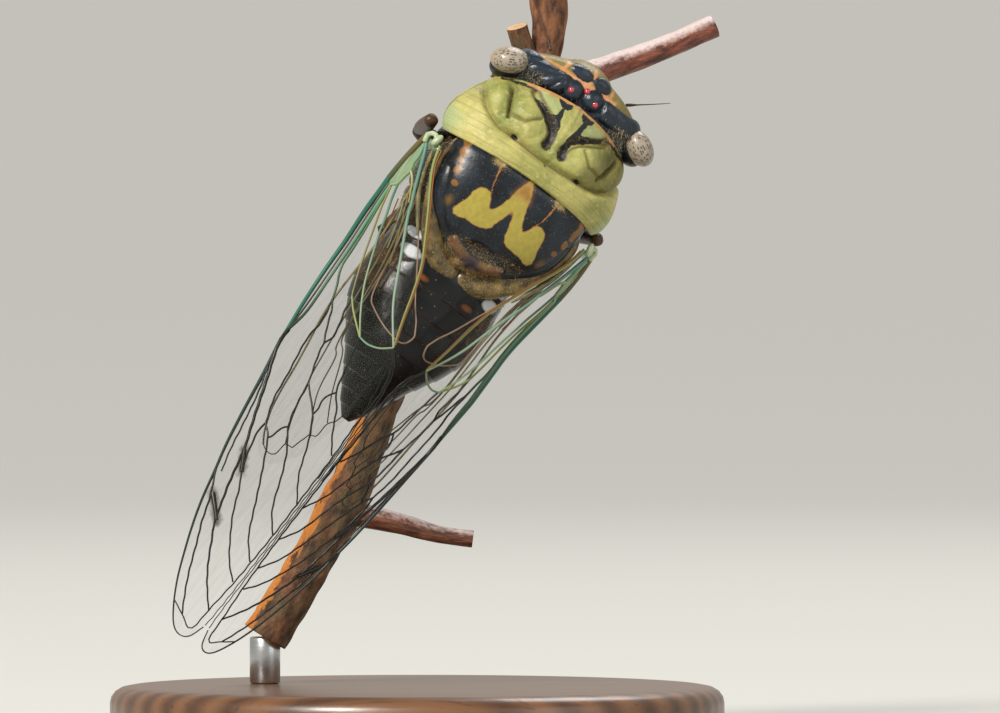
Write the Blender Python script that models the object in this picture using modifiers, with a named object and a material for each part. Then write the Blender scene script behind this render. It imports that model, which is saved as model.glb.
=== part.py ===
# A western dusk singing cicada, life size, gripping a short cut twig on a plain display stand.
# Body frame in millimetres: x to the animal's right, y forward (the head front is y = 0), z up its back.
import math

import bmesh
import bpy
import numpy as np
from mathutils import Matrix, Vector
from mathutils.geometry import delaunay_2d_cdt

MM = 0.001
GAP = 0.3                      # clear space between two parts that touch

# Pose: how the body leans and turns, and where the head front stands above the stand's underside.
LEAN = math.radians(35.5)      # body axis away from the vertical
TURN = math.radians(14.0)      # back turned away from straight behind
HEAD_X, HEAD_Z = 14.8, 56.3

# Body lengths along the back.
HEAD_BACK = 3.6
PRONOTUM_BACK = 10.9
MESONOTUM_BACK = 19.4
ABDOMEN_BACK = 36.3
BOW_FRONT, BOW_REAR = 0.035, 0.012   # how far a ring's sides lie behind its middle, per mm squared

# Eyes and feelers.
EYE_X, EYE_Y, EYE_Z = 6.7, -3.6, 2.9
EYE_R = (1.65, 1.1, 1.55)
EYE_SWEEP = math.radians(30)   # the eyes' long axis lies this far back from straight out
FEELER_LENGTH = 3.9

# Wings: a roof over the abdomen whose slope grows away from the ridge.
RIDGE_Z = 8.9
RIDGE_X = 0.16
RIDGE_FALL_T, RIDGE_FALL = 29.0, 0.155     # behind here the ridge sinks this much per mm
ROOF_R = 19.1                  # radius of the roof's curve
SLOPE_BASE, SLOPE_REAR = 18.0, 28.0
WING_ROOT_T = 12.5
WING_THICK = 0.5
VEIN_RISE, VEIN_HALF = 0.24, 0.26
HIND_DROP = 1.05               # hindwing's upper face below the forewing's

# Perch and stand.
BASE_R, BASE_H = 26.0, 4.0
BASE_X, BASE_Y = 0.0, 0.0
TWIG_DEPTH = 9.2
GRIP_R = 1.35                  # twig radius where the feet hold it
ROD_R = 1.3

for old in list(bpy.data.objects):
    bpy.data.objects.remove(old, do_unlink=True)

scene = bpy.context.scene


def new_collection(name):
    group = bpy.data.collections.new(name)
    scene.collection.children.link(group)
    return group


cicada = new_collection("singing_cicada")
cutters = new_collection("cutters")

pose = bpy.data.objects.new("cicada_pose", None)
cicada.objects.link(pose)
back = Vector((-math.sin(LEAN), 0, -math.cos(LEAN)))
across = Vector((math.cos(LEAN), 0, -math.sin(LEAN)))
near = Vector((0, -1, 0))
up = math.cos(TURN) * near + math.sin(TURN) * across
right = -math.sin(TURN) * near + math.cos(TURN) * across
HEAD_AT = Vector((HEAD_X, -5.5, HEAD_Z))
turn = Matrix((right, -back, up)).transposed()
pose.matrix_world = Matrix.Translation(HEAD_AT * MM) @ turn.to_4x4()


def to_body(point):
    """A point above the stand, in mm, as x, y, z in the body frame."""
    return turn.transposed() @ (Vector(point) - HEAD_AT)


def principled(name, colour, roughness, metallic=0.0, alpha=1.0):
    mat = bpy.data.materials.new(name)
    mat.use_nodes = True
    shader = mat.node_tree.nodes["Principled BSDF"]
    shader.inputs["Base Color"].default_value = (*colour, 1)
    shader.inputs["Roughness"].default_value = roughness
    shader.inputs["Metallic"].default_value = metallic
    shader.inputs["Alpha"].default_value = alpha
    mat.diffuse_color = (*colour, 1)
    return mat


def add_object(name, verts, faces, mat, group=cicada, on_body=True, smooth=True):
    mesh = bpy.data.meshes.new(name)
    mesh.from_pydata([Vector(v) * MM for v in verts], [], faces)
    bm = bmesh.new()
    bm.from_mesh(mesh)
    bmesh.ops.recalc_face_normals(bm, faces=bm.faces)
    bm.to_mesh(mesh)
    bm.free()
    mesh.update()
    obj = bpy.data.objects.new(name, mesh)
    group.objects.link(obj)
    if mat:
        mesh.materials.append(mat)
    if on_body:
        obj.parent = pose
    if smooth:
        mesh.polygons.foreach_set("use_smooth", [True] * len(mesh.polygons))
    return obj


def smooth_keys(keys, count):
    """Rows of numbers, eased through evenly in their first column."""
    keys = np.array(keys, float)
    at = keys[:, 0]
    out = []
    for t in np.linspace(at[0], at[-1], count):
        i = min(int(np.searchsorted(at, t, side="right")) - 1, len(at) - 2)
        i = max(i, 0)
        h = at[i + 1] - at[i]
        u = (t - at[i]) / h
        row = []
        for c in range(1, keys.shape[1]):
            v = keys[:, c]

            def slope(j):
                if j == 0:
                    return (v[1] - v[0]) / (at[1] - at[0])
                if j == len(at) - 1:
                    return (v[-1] - v[-2]) / (at[-1] - at[-2])
                return (v[j + 1] - v[j - 1]) / (at[j + 1] - at[j - 1])

            a, b = v[i], v[i + 1]
            m0, m1 = slope(i) * h, slope(i + 1) * h
            row.append(
                (2 * u**3 - 3 * u**2 + 1) * a + (u**3 - 2 * u**2 + u) * m0
                + (-2 * u**3 + 3 * u**2) * b + (u**3 - u**2) * m1
            )
        out.append((t, *row))
    return out


def oval(t, half, mid, rise, fall, power, low_power, count):
    """One ring of a body section: half width, height above and below its mid level."""
    u = min(max((t - 5.0) / 4.0, 0.0), 1.0)
    bow = BOW_FRONT + (BOW_REAR - BOW_FRONT) * u
    ring = []
    for k in range(count):
        a = 2 * math.pi * (k + 0.5) / count
        c, s = math.cos(a), math.sin(a)
        e = 2 / (power if s > 0 else low_power)
        x = half * math.copysign(abs(c) ** e, c)
        z = mid + (rise if s > 0 else fall) * math.copysign(abs(s) ** e, s)
        ring.append((x, -(t + bow * x * x), z))
    return ring


def loft(name, rings, mat, domed=False, **more):
    count = len(rings[0])
    verts = [p for ring in rings for p in ring]
    faces = []
    for r in range(len(rings) - 1):
        for k in range(count):
            a, b = r * count + k, r * count + (k + 1) % count
            faces.append((a, b, b + count, a + count))
    for ring, start in ((rings[0], 0), (rings[-1], (len(rings) - 1) * count)):
        centre = len(verts)
        middle = [sum(p[i] for p in ring) / count for i in range(3)]
        if domed:
            middle[1] = max(p[1] for p in ring)
        verts.append(tuple(middle))
        for k in range(count):
            faces.append((start + k, start + (k + 1) % count, centre))
    return add_object(name, verts, faces, mat, **more)


def body_loft(name, keys, count, sides, mat, crown=None, low_power=None, **more):
    rings = []
    for row in smooth_keys(keys, count):
        t, half, mid, rise, fall, power = row
        if crown:
            half, rise, fall = crown(t, half, rise, fall)
        rings.append(oval(t, half, mid, rise, fall, power, low_power or power, sides))
    return loft(name, rings, mat, domed=True, **more)


def ball(name, centre, radii, mat, group=cicada, segments=20, rows=12, on_body=True, sweep=0.0):
    verts, faces = [], []
    turned = Matrix.Rotation(sweep, 3, "Z")
    for r in range(1, rows):
        for k in range(segments):
            lat, lon = math.pi * r / rows, 2 * math.pi * k / segments
            verts.append(Vector(centre) + turned @ Vector((
                radii[0] * math.sin(lat) * math.cos(lon),
                radii[1] * math.sin(lat) * math.sin(lon),
                radii[2] * math.cos(lat),
            )))
    for r in range(rows - 2):
        for k in range(segments):
            a, b = r * segments + k, r * segments + (k + 1) % segments
            faces.append((a, b, b + segments, a + segments))
    top, low = len(verts), len(verts) + 1
    verts.append((centre[0], centre[1], centre[2] + radii[2]))
    verts.append((centre[0], centre[1], centre[2] - radii[2]))
    last = (rows - 2) * segments
    for k in range(segments):
        faces.append((k, (k + 1) % segments, top))
        faces.append((last + k, last + (k + 1) % segments, low))
    return add_object(name, verts, faces, mat, group, on_body)


def tube(name, points, radii, sides, mat, flat=1.0, **more):
    """A round limb through the points, mitred at each bend, with domed ends."""
    pts = [Vector(p) for p in points]
    dirs = []
    for i in range(len(pts)):
        if i == 0:
            d = pts[1] - pts[0]
        elif i == len(pts) - 1:
            d = pts[-1] - pts[-2]
        else:
            d = (pts[i] - pts[i - 1]).normalized() + (pts[i + 1] - pts[i]).normalized()
        dirs.append(d.normalized())
    first = dirs[0].cross(Vector((0.3, 0.2, 1))).normalized()
    rings = []
    side = first
    stations = [(pts[0] - dirs[0] * radii[0] * 0.75, radii[0] * 0.62, dirs[0])]
    stations += list(zip(pts, radii, dirs))
    stations.append((pts[-1] + dirs[-1] * radii[-1] * 0.75, radii[-1] * 0.62, dirs[-1]))
    for p, r, d in stations:
        side = (side - d * side.dot(d)).normalized()
        other = d.cross(side)
        rings.append([
            tuple(p + side * r * math.cos(2 * math.pi * k / sides)
                  + other * r * flat * math.sin(2 * math.pi * k / sides))
            for k in range(sides)
        ])
    return loft(name, rings, mat, **more)


def boolean(obj, operand, operation, solver="EXACT"):
    for o in list(operand.objects):
        o.hide_render = True
        o.display_type = "WIRE"
    mod = obj.modifiers.new(operation.lower(), "BOOLEAN")
    mod.operand_type = "COLLECTION"
    mod.collection = operand
    mod.operation = operation
    mod.solver = solver
    bpy.context.view_layer.update()
    graph = bpy.context.evaluated_depsgraph_get()
    made = bpy.data.meshes.new_from_object(obj.evaluated_get(graph))
    obj.modifiers.clear()
    mats = [m for m in obj.data.materials]
    obj.data = made
    made.materials.clear()
    for m in mats[:1]:
        made.materials.append(m)
    made.polygons.foreach_set("material_index", [0] * len(made.polygons))
    made.polygons.foreach_set("use_smooth", [True] * len(made.polygons))
    for o in list(operand.objects):
        bpy.data.objects.remove(o, do_unlink=True)
    keep_largest(obj)


def keep_largest(obj):
    bm = bmesh.new()
    bm.from_mesh(obj.data)
    bmesh.ops.remove_doubles(bm, verts=bm.verts, dist=0.0000005)
    left = set(bm.verts)
    groups = []
    while left:
        stack = [left.pop()]
        group = set(stack)
        while stack:
            v = stack.pop()
            for e in v.link_edges:
                w = e.other_vert(v)
                if w in left:
                    left.discard(w)
                    group.add(w)
                    stack.append(w)
        groups.append(group)
    groups.sort(key=len, reverse=True)
    loose = [v for g in groups[1:] for v in g]
    if loose:
        bmesh.ops.delete(bm, geom=loose, context="VERTS")
    bm.to_mesh(obj.data)
    bm.free()


# ---------------------------------------------------------------- materials
shell_black = principled("shell_black", (0.010, 0.012, 0.015), 0.22)
shell_olive = principled("shell_olive", (0.42, 0.42, 0.13), 0.4)
eye_grey = principled("eye_grey", (0.47, 0.41, 0.33), 0.25)
leg_brown = principled("leg_brown", (0.055, 0.025, 0.018), 0.3)
wing_clear = principled("wing_clear", (0.55, 0.62, 0.5), 0.2, alpha=0.5)
bark = principled("bark", (0.20, 0.085, 0.055), 0.5)
stand_wood = principled("stand_wood", (0.30, 0.19, 0.10), 0.5)
stand_steel = principled("stand_steel", (0.55, 0.55, 0.56), 0.3, metallic=1.0)

# ---------------------------------------------------------------- head
head = body_loft(
    "head",
    [
        # t, half width, mid level, rise, fall, power
        (0.0, 0.9, 1.7, 1.2, 3.0, 2.0),
        (0.36, 1.65, 1.9, 1.5, 4.3, 2.0),
        (0.64, 2.35, 2.0, 1.7, 5.0, 2.1),
        (0.78, 3.7, 2.1, 1.75, 5.3, 2.1),
        (1.15, 5.3, 2.3, 1.9, 5.6, 2.2),
        (1.8, 6.0, 2.4, 2.3, 6.1, 2.2),
        (HEAD_BACK - GAP / 2, 6.4, 2.4, 2.5, 6.4, 2.2),
    ],
    16, 30, shell_black, low_power=1.6,
)
bumps = new_collection("head_forms")
for sx in (-1, 1):
    ball("tubercle", (sx * 1.1, -2.55, 4.55), (0.95, 0.85, 0.6), None, bumps, 14, 8)
    tube(
        "eye_bar",
        [(sx * 1.9, -2.3, 4.3), (sx * 3.2, -2.5, 4.2), (sx * 4.9, -2.9, 3.7)],
        [0.6, 0.75, 0.75], 10, None, group=bumps,
    )
ball("face", (0, -1.75, -1.0), (2.1, 1.65, 3.15), None, bumps, 20, 12)
boolean(head, bumps, "UNION")



def eye_ball(name, sx, grow, mat, group):
    radii = tuple(r + grow for r in EYE_R)
    return ball(name, (sx * EYE_X, EYE_Y, EYE_Z), radii, mat, group, 22, 12, sweep=-sx * EYE_SWEEP)


for side, sx in (("left", -1), ("right", 1)):
    eye_ball(f"eye_{side}", sx, 0.0, eye_grey, cicada)
    eye_ball(f"socket_{side}", sx, GAP, None, cutters)
boolean(head, cutters, "DIFFERENCE")

# Feelers: a short bristle each side, in front of the eye.
for side, sx in (("left", -1), ("right", 1)):
    root = Vector((sx * 4.15, -0.82, 1.35))
    reach = Vector((0.78, 0.58, -0.12) if sx > 0 else (-0.55, 0.55, -0.62)).normalized()
    pts = [
        root + reach * (FEELER_LENGTH * k / 5) + Vector((0, 0, 0.18)) * math.sin(k * 0.62) for k in range(6)
    ]
    tube(f"antenna_{side}", pts, [0.34, 0.3, 0.26, 0.24, 0.2, 0.14], 8, shell_black)

# Sucking beak, folded back under the head between the fore legs.
tube(
    "rostrum",
    [(0, -2.3, -4.9), (0, -3.6, -5.9), (0, -6.0, -6.35), (0, -8.6, -6.45), (0, -10.6, -6.5)],
    [0.55, 0.6, 0.5, 0.42, 0.28], 10, shell_black,
)

# ---------------------------------------------------------------- thorax
pronotum = body_loft(
    "pronotum",
    [
        (HEAD_BACK + GAP / 2, 6.0, 1.5, 3.5, 5.9, 2.2),
        (5.0, 7.1, 1.4, 4.2, 6.4, 2.2),
        (6.8, 7.9, 1.3, 4.75, 6.7, 2.2),
        (8.6, 8.25, 1.4, 5.1, 7.0, 2.2),
        (9.6, 8.25, 1.7, 5.0, 7.3, 2.1),
        (10.3, 8.05, 1.9, 4.9, 7.5, 2.1),
        (PRONOTUM_BACK - GAP / 2, 7.7, 1.9, 4.8, 7.4, 2.1),
    ],
    16, 36, shell_olive,
)
for sx, side in ((-1, "left"), (1, "right")):
    eye_ball(f"room_{side}", sx, GAP, None, cutters)
boolean(pronotum, cutters, "DIFFERENCE")

mesonotum = body_loft(
    "mesonotum",
    [
        (PRONOTUM_BACK + GAP / 2, 6.7, 3.5, 3.1, 1.6, 2.4),
        (12.5, 6.75, 3.5, 3.5, 1.6, 2.4),
        (14.5, 6.6, 3.5, 3.7, 1.6, 2.4),
        (16.5, 6.0, 3.5, 3.4, 1.6, 2.3),
        (18.0, 4.9, 3.5, 2.9, 1.6, 2.2),
        (MESONOTUM_BACK, 3.6, 3.5, 2.2, 1.6, 2.2),
    ],
    16, 32, shell_black,
)
thorax = body_loft(
    "thorax",
    [
        (PRONOTUM_BACK + GAP / 2, 6.9, -1.0, 2.55, 4.7, 2.4),
        (12.5, 7.0, -1.0, 2.55, 4.9, 2.4),
        (14.5, 7.0, -1.0, 2.55, 5.0, 2.4),
        (17.0, 6.6, -1.0, 2.55, 4.9, 2.4),
        (MESONOTUM_BACK, 5.9, -1.0, 2.5, 4.6, 2.3),
    ],
    10, 32, shell_black,
)

# ---------------------------------------------------------------- abdomen
RINGS = 8


def tergite(t, half, rise, fall):
    """Each plate swells a little toward its rear edge and overlaps the next."""
    start, step = 21.0, 1.75
    if t < start or t > start + step * RINGS:
        return half, rise, fall
    u = ((t - start) / step) % 1.0
    swell = 0.16 * u
    return half + swell, rise + swell, fall + swell


abdomen = body_loft(
    "abdomen",
    [
        (MESONOTUM_BACK + GAP, 5.6, -0.6, 4.3, 4.3, 2.1),
        (21.5, 5.9, -0.6, 5.0, 4.6, 2.0),
        (24.0, 6.1, -0.6, 5.1, 4.7, 2.0),
        (25.5, 6.05, -0.6, 5.1, 4.7, 2.0),
        (27.0, 5.65, -0.6, 4.9, 4.5, 2.0),
        (28.7, 4.85, -0.6, 4.4, 4.1, 2.0),
        (30.2, 3.95, -0.6, 3.8, 3.6, 2.0),
        (31.8, 3.0, -0.7, 3.0, 2.9, 2.0),
        (33.6, 2.05, -0.8, 2.1, 2.0, 2.0),
        (35.0, 1.3, -0.8, 1.35, 1.3, 2.0),
        (ABDOMEN_BACK, 0.5, -0.8, 0.5, 0.5, 2.0),
    ],
    43, 22, shell_black, crown=tergite,
)
for sx, side in ((-1, "left"), (1, "right")):
    pts, radii = [], []
    plate = loft(
        f"operculum_{side}",
        [
            [
                (
                    sx * (2.6 + 2.1 * (1 - (k / 8) ** 2) * math.cos(a)),
                    -(20.3 + 5.4 * k / 8),
                    -5.75 - 0.02 * k + 0.28 * math.sin(a),
                )
                for a in [2 * math.pi * j / 16 for j in range(16)]
            ]
            for k in (0.2, 1, 2, 3, 4, 5, 6, 7, 7.6)
        ],
        shell_black,
    )

# ---------------------------------------------------------------- wings
FORE_OUTLINE = [
    (12.9, 9.8), (15.9, 10.9), (18.6, 11.9), (21.8, 12.6), (26.0, 12.8), (30.0, 12.6), (33.8, 12.1),
    (37.1, 11.2), (40.5, 10.4), (43.6, 9.6), (46.0, 8.8), (48.6, 8.0), (50.9, 7.1), (53.3, 6.0),
    (55.3, 5.0), (57.2, 3.8), (58.6, 2.6), (59.0, 1.6), (58.6, 0.7), (57.2, 0.1), (55.0, 0.0),
    (51.0, 0.0), (47.0, 0.0), (43.0, 0.0), (38.0, 0.0), (33.5, 0.1), (30.6, 0.5), (29.2, 1.6),
    (26.6, 2.5), (24.3, 3.2), (22.3, 3.9), (20.2, 5.0), (17.8, 6.6), (15.8, 8.1), (14.2, 8.45), (13.2, 8.9),
]
FORE_VEINS = {
    "radius": [(13.8, 9.9), (18.2, 11.3), (24.3, 11.8), (30.5, 11.6), (34.3, 11.6)],
    "radial_sector": [
        (34.3, 11.6), (37.5, 10.2), (39.8, 9.1), (43.4, 7.5), (47.6, 6.1), (50.8, 4.6), (54.2, 2.3),
        (55.8, 0.9),
    ],
    "radius_tip": [(45.8, 8.6), (48.1, 7.3), (51.5, 5.7), (54.4, 4.3), (57.4, 2.4)],
    "median": [(17.9, 11.2), (24.5, 11.0), (26.2, 10.7), (28.6, 9.7)],
    "median_fore": [(28.6, 9.7), (30.6, 9.2), (32.7, 9.4), (36.0, 8.7), (40.3, 7.4)],
    "median_1": [(40.3, 7.4), (43.4, 6.8), (46.0, 5.5), (49.8, 3.3), (52.7, 0.8)],
    "median_2": [(40.3, 7.4), (41.2, 6.3), (44.5, 4.3), (48.0, 2.5), (50.5, 0.7)],
    "median_rear": [(28.6, 9.7), (30.9, 8.3), (33.0, 7.4), (35.5, 6.4)],
    "median_3": [(35.5, 6.4), (39.5, 5.3), (43.1, 3.0), (47.6, 0.7)],
    "median_4": [(35.5, 6.4), (37.4, 4.2), (40.3, 2.6), (44.3, 0.7)],
    "cubitus": [(17.5, 10.2), (22.3, 9.5), (25.6, 8.0), (28.0, 6.5), (29.9, 5.0)],
    "cubitus_fore": [(29.9, 5.0), (33.3, 4.2), (34.8, 3.7), (37.7, 1.7), (39.3, 0.7)],
    "cubitus_rear": [(29.9, 5.0), (29.9, 3.9), (29.2, 2.2)],
    "cubital_link": [(18.7, 10.2), (24.0, 9.5), (27.5, 8.1), (31.1, 7.5), (32.1, 7.8)],
    "claval": [(14.2, 9.6), (16.8, 9.2), (19.5, 8.0), (23.3, 5.8), (26.1, 4.2), (29.2, 2.2)],
    "cross_1": [(43.1, 7.5), (44.8, 6.3)],
    "cross_2": [(47.7, 7.4), (49.4, 5.2)],
    "cross_3": [(41.2, 6.3), (39.5, 5.3)],
    "cross_4": [(37.4, 4.2), (34.8, 3.7)],
    "ambient": [
        (29.2, 2.2), (32.8, 0.8), (36.0, 0.8), (39.3, 0.7), (44.3, 0.7), (47.6, 0.7), (50.5, 0.7),
        (52.7, 0.8), (55.8, 0.9), (57.3, 1.4), (57.3, 2.5), (55.6, 4.1),
    ],
}
HIND_OUTLINE = [
    (15.0, 9.7), (18.5, 10.2), (22.6, 10.4), (26.3, 10.8), (30.0, 10.8), (34.8, 9.8), (39.0, 8.9),
    (41.9, 7.6), (42.9, 6.3), (42.7, 4.8), (40.5, 3.2), (37.9, 2.3), (34.0, 1.6), (30.0, 1.4),
    (26.8, 2.2), (24.0, 3.9), (21.0, 5.9), (18.0, 8.0), (15.6, 9.25),
]
HIND_VEINS = {
    "costa": [(16.2, 9.65), (22.6, 9.9), (30.0, 10.2), (34.8, 9.3), (39.1, 8.4), (41.9, 6.9)],
    "median": [(16.2, 9.6), (24.0, 9.2), (32.8, 7.6), (38.8, 6.0), (41.2, 5.2)],
    "cubitus": [(16.6, 9.4), (24.0, 8.0), (32.5, 6.3), (39.3, 4.0)],
    "anal": [(16.6, 9.2), (23.0, 6.9), (30.0, 4.9), (37.2, 3.0)],
    "last_anal": [(17.0, 8.9), (22.0, 6.2), (27.5, 3.8), (30.4, 2.2)],
    "ambient": [(41.9, 6.9), (41.2, 5.2), (39.3, 4.0), (37.2, 3.0), (33.8, 2.5), (30.4, 2.2)],
}


def rounded(points, step, closed=False):
    """A smooth line through the points, in pieces of about the step."""
    pts = [np.array(p, float) for p in points]
    n = len(pts)
    out = []
    for i in range(n if closed else n - 1):
        p1, p2 = pts[i], pts[(i + 1) % n]
        p0 = pts[i - 1] if closed or i > 0 else 2 * p1 - p2
        p3 = pts[(i + 2) % n] if closed or i + 2 < n else 2 * p2 - p1
        pieces = max(1, int(round(np.linalg.norm(p2 - p1) / step)))
        for k in range(pieces):
            u = k / pieces
            out.append(
                0.5 * (2 * p1 + (p2 - p0) * u + (2 * p0 - 5 * p1 + 4 * p2 - p3) * u**2
                       + (3 * p1 - p0 - 3 * p2 + p3) * u**3)
            )
    if not closed:
        out.append(pts[-1])
    return out


def distance(p, a, b):
    d = b - a
    u = min(max(float(np.dot(p - a, d) / max(np.dot(d, d), 1e-12)), 0.0), 1.0)
    return float(np.linalg.norm(p - (a + u * d)))


def roof(t, q, drop, sx):
    """A point of the wing roof: t back along the body, q down the slope from the ridge."""
    k = min(max((t - WING_ROOT_T) / 12.5, 0.0), 1.0)
    k = k * k * (3 - 2 * k)
    b0 = math.radians(SLOPE_BASE + (SLOPE_REAR - SLOPE_BASE) * k)
    b = b0 + q / ROOF_R
    lean = b * min(1.0, q / 2.0)          # the hind edge is cut upright, so the two wings can meet
    x = RIDGE_X + ROOF_R * (math.sin(b) - math.sin(b0)) - drop * math.sin(lean)
    z = RIDGE_Z - ROOF_R * (math.cos(b0) - math.cos(b)) - drop * math.cos(lean)
    z -= RIDGE_FALL * max(0.0, t - RIDGE_FALL_T)
    return (sx * x, -t, z)


def wing(name, outline, veins, drop, vein_rise, sx, step):
    edge = rounded(outline, step, closed=True)
    lines = [rounded(v, step) for v in veins.values()]
    segments = [(a, b) for line in lines for a, b in zip(line, line[1:])]
    verts = [Vector(p) for p in edge]
    edges = [(i, (i + 1) % len(edge)) for i in range(len(edge))]

    def vertex(p):
        for i, v in enumerate(verts):
            if (v - Vector(p)).length < 0.12:
                return i
        verts.append(Vector(p))
        return len(verts) - 1

    for line in lines:
        ids = [vertex(p) for p in line]
        edges += [(a, b) for a, b in zip(ids, ids[1:]) if a != b]
    rim = [(edge[i], edge[(i + 1) % len(edge)]) for i in range(len(edge))]
    for line in lines:
        for a, b in zip(line, line[1:]):
            along = (b - a) / max(np.linalg.norm(b - a), 1e-9)
            normal = np.array((-along[1], along[0]))
            for u in (0.0, 0.5):
                for s in (-1, 1):
                    p = a + (b - a) * u + normal * s * VEIN_HALF
                    if min(distance(p, c, d) for c, d in segments) < VEIN_HALF * 0.85:
                        continue
                    if min(distance(p, c, d) for c, d in rim) < 0.2:
                        continue
                    if min((v - Vector(p)).length for v in verts) < 0.2:
                        continue
                    verts.append(Vector(p))
    made, _, faces, *_ = delaunay_2d_cdt(verts, edges, [list(range(len(edge)))], 1, 0.001)
    rise = []
    for v in made:
        p = np.array(v)
        near_vein = min(distance(p, a, b) for a, b in segments)
        near_rim = min(distance(p, a, b) for a, b in rim)
        lift = vein_rise * max(0.0, 1 - near_vein / VEIN_HALF)
        rise.append(lift if near_rim > 0.01 else 0.0)
    top = [roof(v[0], v[1], drop - h, sx) for v, h in zip(made, rise)]
    low = [roof(v[0], v[1], drop + WING_THICK, sx) for v in made]
    n = len(made)
    mesh_faces = [tuple(f) for f in faces] + [tuple(n + i for i in reversed(f)) for f in faces]
    uses = {}
    for f in faces:
        for a, b in zip(f, f[1:] + f[:1]):
            uses[(a, b)] = uses.get((a, b), 0) + 1
    for (a, b) in uses:
        if (b, a) not in uses:
            mesh_faces.append((b, a, n + a, n + b))
    return add_object(name, top + low, mesh_faces, wing_clear)


for side, sx in (("left", -1), ("right", 1)):
    wing(f"forewing_{side}", FORE_OUTLINE, FORE_VEINS, 0.0, VEIN_RISE, sx, 2.7)
    wing(f"hindwing_{side}", HIND_OUTLINE, HIND_VEINS, HIND_DROP, VEIN_RISE * 0.8, sx, 3.5)

# ---------------------------------------------------------------- perch
TWIG_LINE = [
    # height, x of the centre, radius
    (8.0, -13.0, 2.05), (13.5, -9.6, 1.9), (19.7, -6.2, 1.75), (26.0, -3.7, 1.6),
    (46.0, 4.6, 1.38), (53.0, 8.7, 1.36), (58.0, 11.0, 1.3), (60.5, 11.2, 1.5), (63.4, 11.1, 1.75),
]
twig = smooth_keys(TWIG_LINE, 200)


def twig_at(z):
    """Centre of the twig at height z above the stand's underside."""
    return Vector((min(twig, key=lambda row: abs(row[0] - z))[1], TWIG_DEPTH - 5.5, z))


rings = []
for z, x, r in smooth_keys(TWIG_LINE, 22):
    rings.append([
        (x + r * 1.08 * math.cos(2 * math.pi * k / 16), TWIG_DEPTH - 5.5 + r * math.sin(2 * math.pi * k / 16), z)
        for k in range(16)
    ])
perch = loft("perch_twig", rings, bark, on_body=False)
SIDE_TWIGS = {
    # name: start x, z, end x, z, radius at start and end, depth of the end
    "upper": ((9.2, 53.7), (25.3, 60.0), 1.2, 1.0, 7.0),
    "lower": ((-6.0, 18.6), (4.7, 16.2), 1.0, 0.75, 3.7),
    "stub": ((10.1, 54.9), (8.45, 59.75), 0.85, 0.95, 1.9),
}
twigs = new_collection("side_twigs")
for (x0, z0), (x1, z1), r0, r1, depth in SIDE_TWIGS.values():
    a, b = Vector((x0, TWIG_DEPTH - 5.5, z0)), Vector((x1, depth, z1))
    count = 8
    along = (b - a).normalized()
    side_way = along.cross(Vector((0, 1, 0))).normalized()
    other = along.cross(side_way)
    loft("side_twig", [
        [
            tuple(a.lerp(b, k / count) + (side_way * math.cos(w) + other * math.sin(w)) * (r0 + (r1 - r0) * k / count)
                  + side_way * 0.25 * math.sin(k * 1.1) * (k / count))
            for w in [2 * math.pi * (j + 0.5) / 12 for j in range(12)]
        ]
        for k in range(count + 1)
    ], None, group=twigs, on_body=False)
boolean(perch, twigs, "UNION")

# ---------------------------------------------------------------- legs
LEGS = {
    # name: root, end of the short first joint and knee as x, t, z; how far back the foot holds
    "fore": ((2.4, 7.4, -6.3), (3.4, 6.6, -7.1), (4.9, 3.2, -7.4), 7.6),
    "mid": ((3.2, 13.4, -6.6), (7.5, 12.8, -6.2), (8.8, 11.7, 0.9), 14.0),
    "hind": ((3.2, 17.2, -6.2), (3.9, 17.9, -7.0), (4.6, 21.4, -8.2), 26.0),
}
ANKLE_OUT = {"fore": 1.0, "mid": 3.9, "hind": 0.8}


def twig_near(t):
    """The twig's centre in the body frame, level with t along the back."""
    best = min(
        (to_body((x, TWIG_DEPTH - 5.5, z)) for z, x, r in twig),
        key=lambda p: abs(p.y + t),
    )
    return best


for pair, (root, bend, knee, foot_t) in LEGS.items():
    for side, sx in (("left", -1), ("right", 1)):
        root_p = Vector((sx * root[0], -root[1], root[2]))
        bend_p = Vector((sx * bend[0], -bend[1], bend[2]))
        knee_p = Vector((sx * knee[0], -knee[1], knee[2]))
        twig_c = twig_near(foot_t)
        reach = GRIP_R + 0.9
        spread = reach + ANKLE_OUT[pair]
        ankle = Vector((twig_c.x + sx * spread, twig_c.y + 0.6, twig_c.z + 1.5))
        toe = Vector((twig_c.x + sx * reach, twig_c.y - 0.6, twig_c.z - 0.2))
        # thigh, with the hip, knee, shin and foot fused to it
        joints = new_collection(f"{pair}_{side}_joints")
        leg = tube(f"leg_{pair}_{side}", [bend_p, bend_p.lerp(knee_p, 0.5), knee_p], [0.7, 0.85, 0.55], 7, leg_brown)
        tube("hip", [root_p, bend_p], [1.0, 0.75], 6, None, group=joints)
        ball("knee", knee_p, (0.66, 0.68, 0.67), None, joints, 8, 5)
        tube("shin", [knee_p, ankle], [0.46, 0.35], 6, None, group=joints)
        tube("foot", [ankle, toe], [0.34, 0.28], 5, None, group=joints)
        boolean(leg, joints, "UNION", "MANIFOLD")
        ball(f"coxa_{side}", root_p, (1.5, 1.5, 1.5), None, cutters, 16, 10)
    boolean(bpy.data.objects["pronotum" if pair == "fore" else "thorax"], cutters, "DIFFERENCE")

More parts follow.
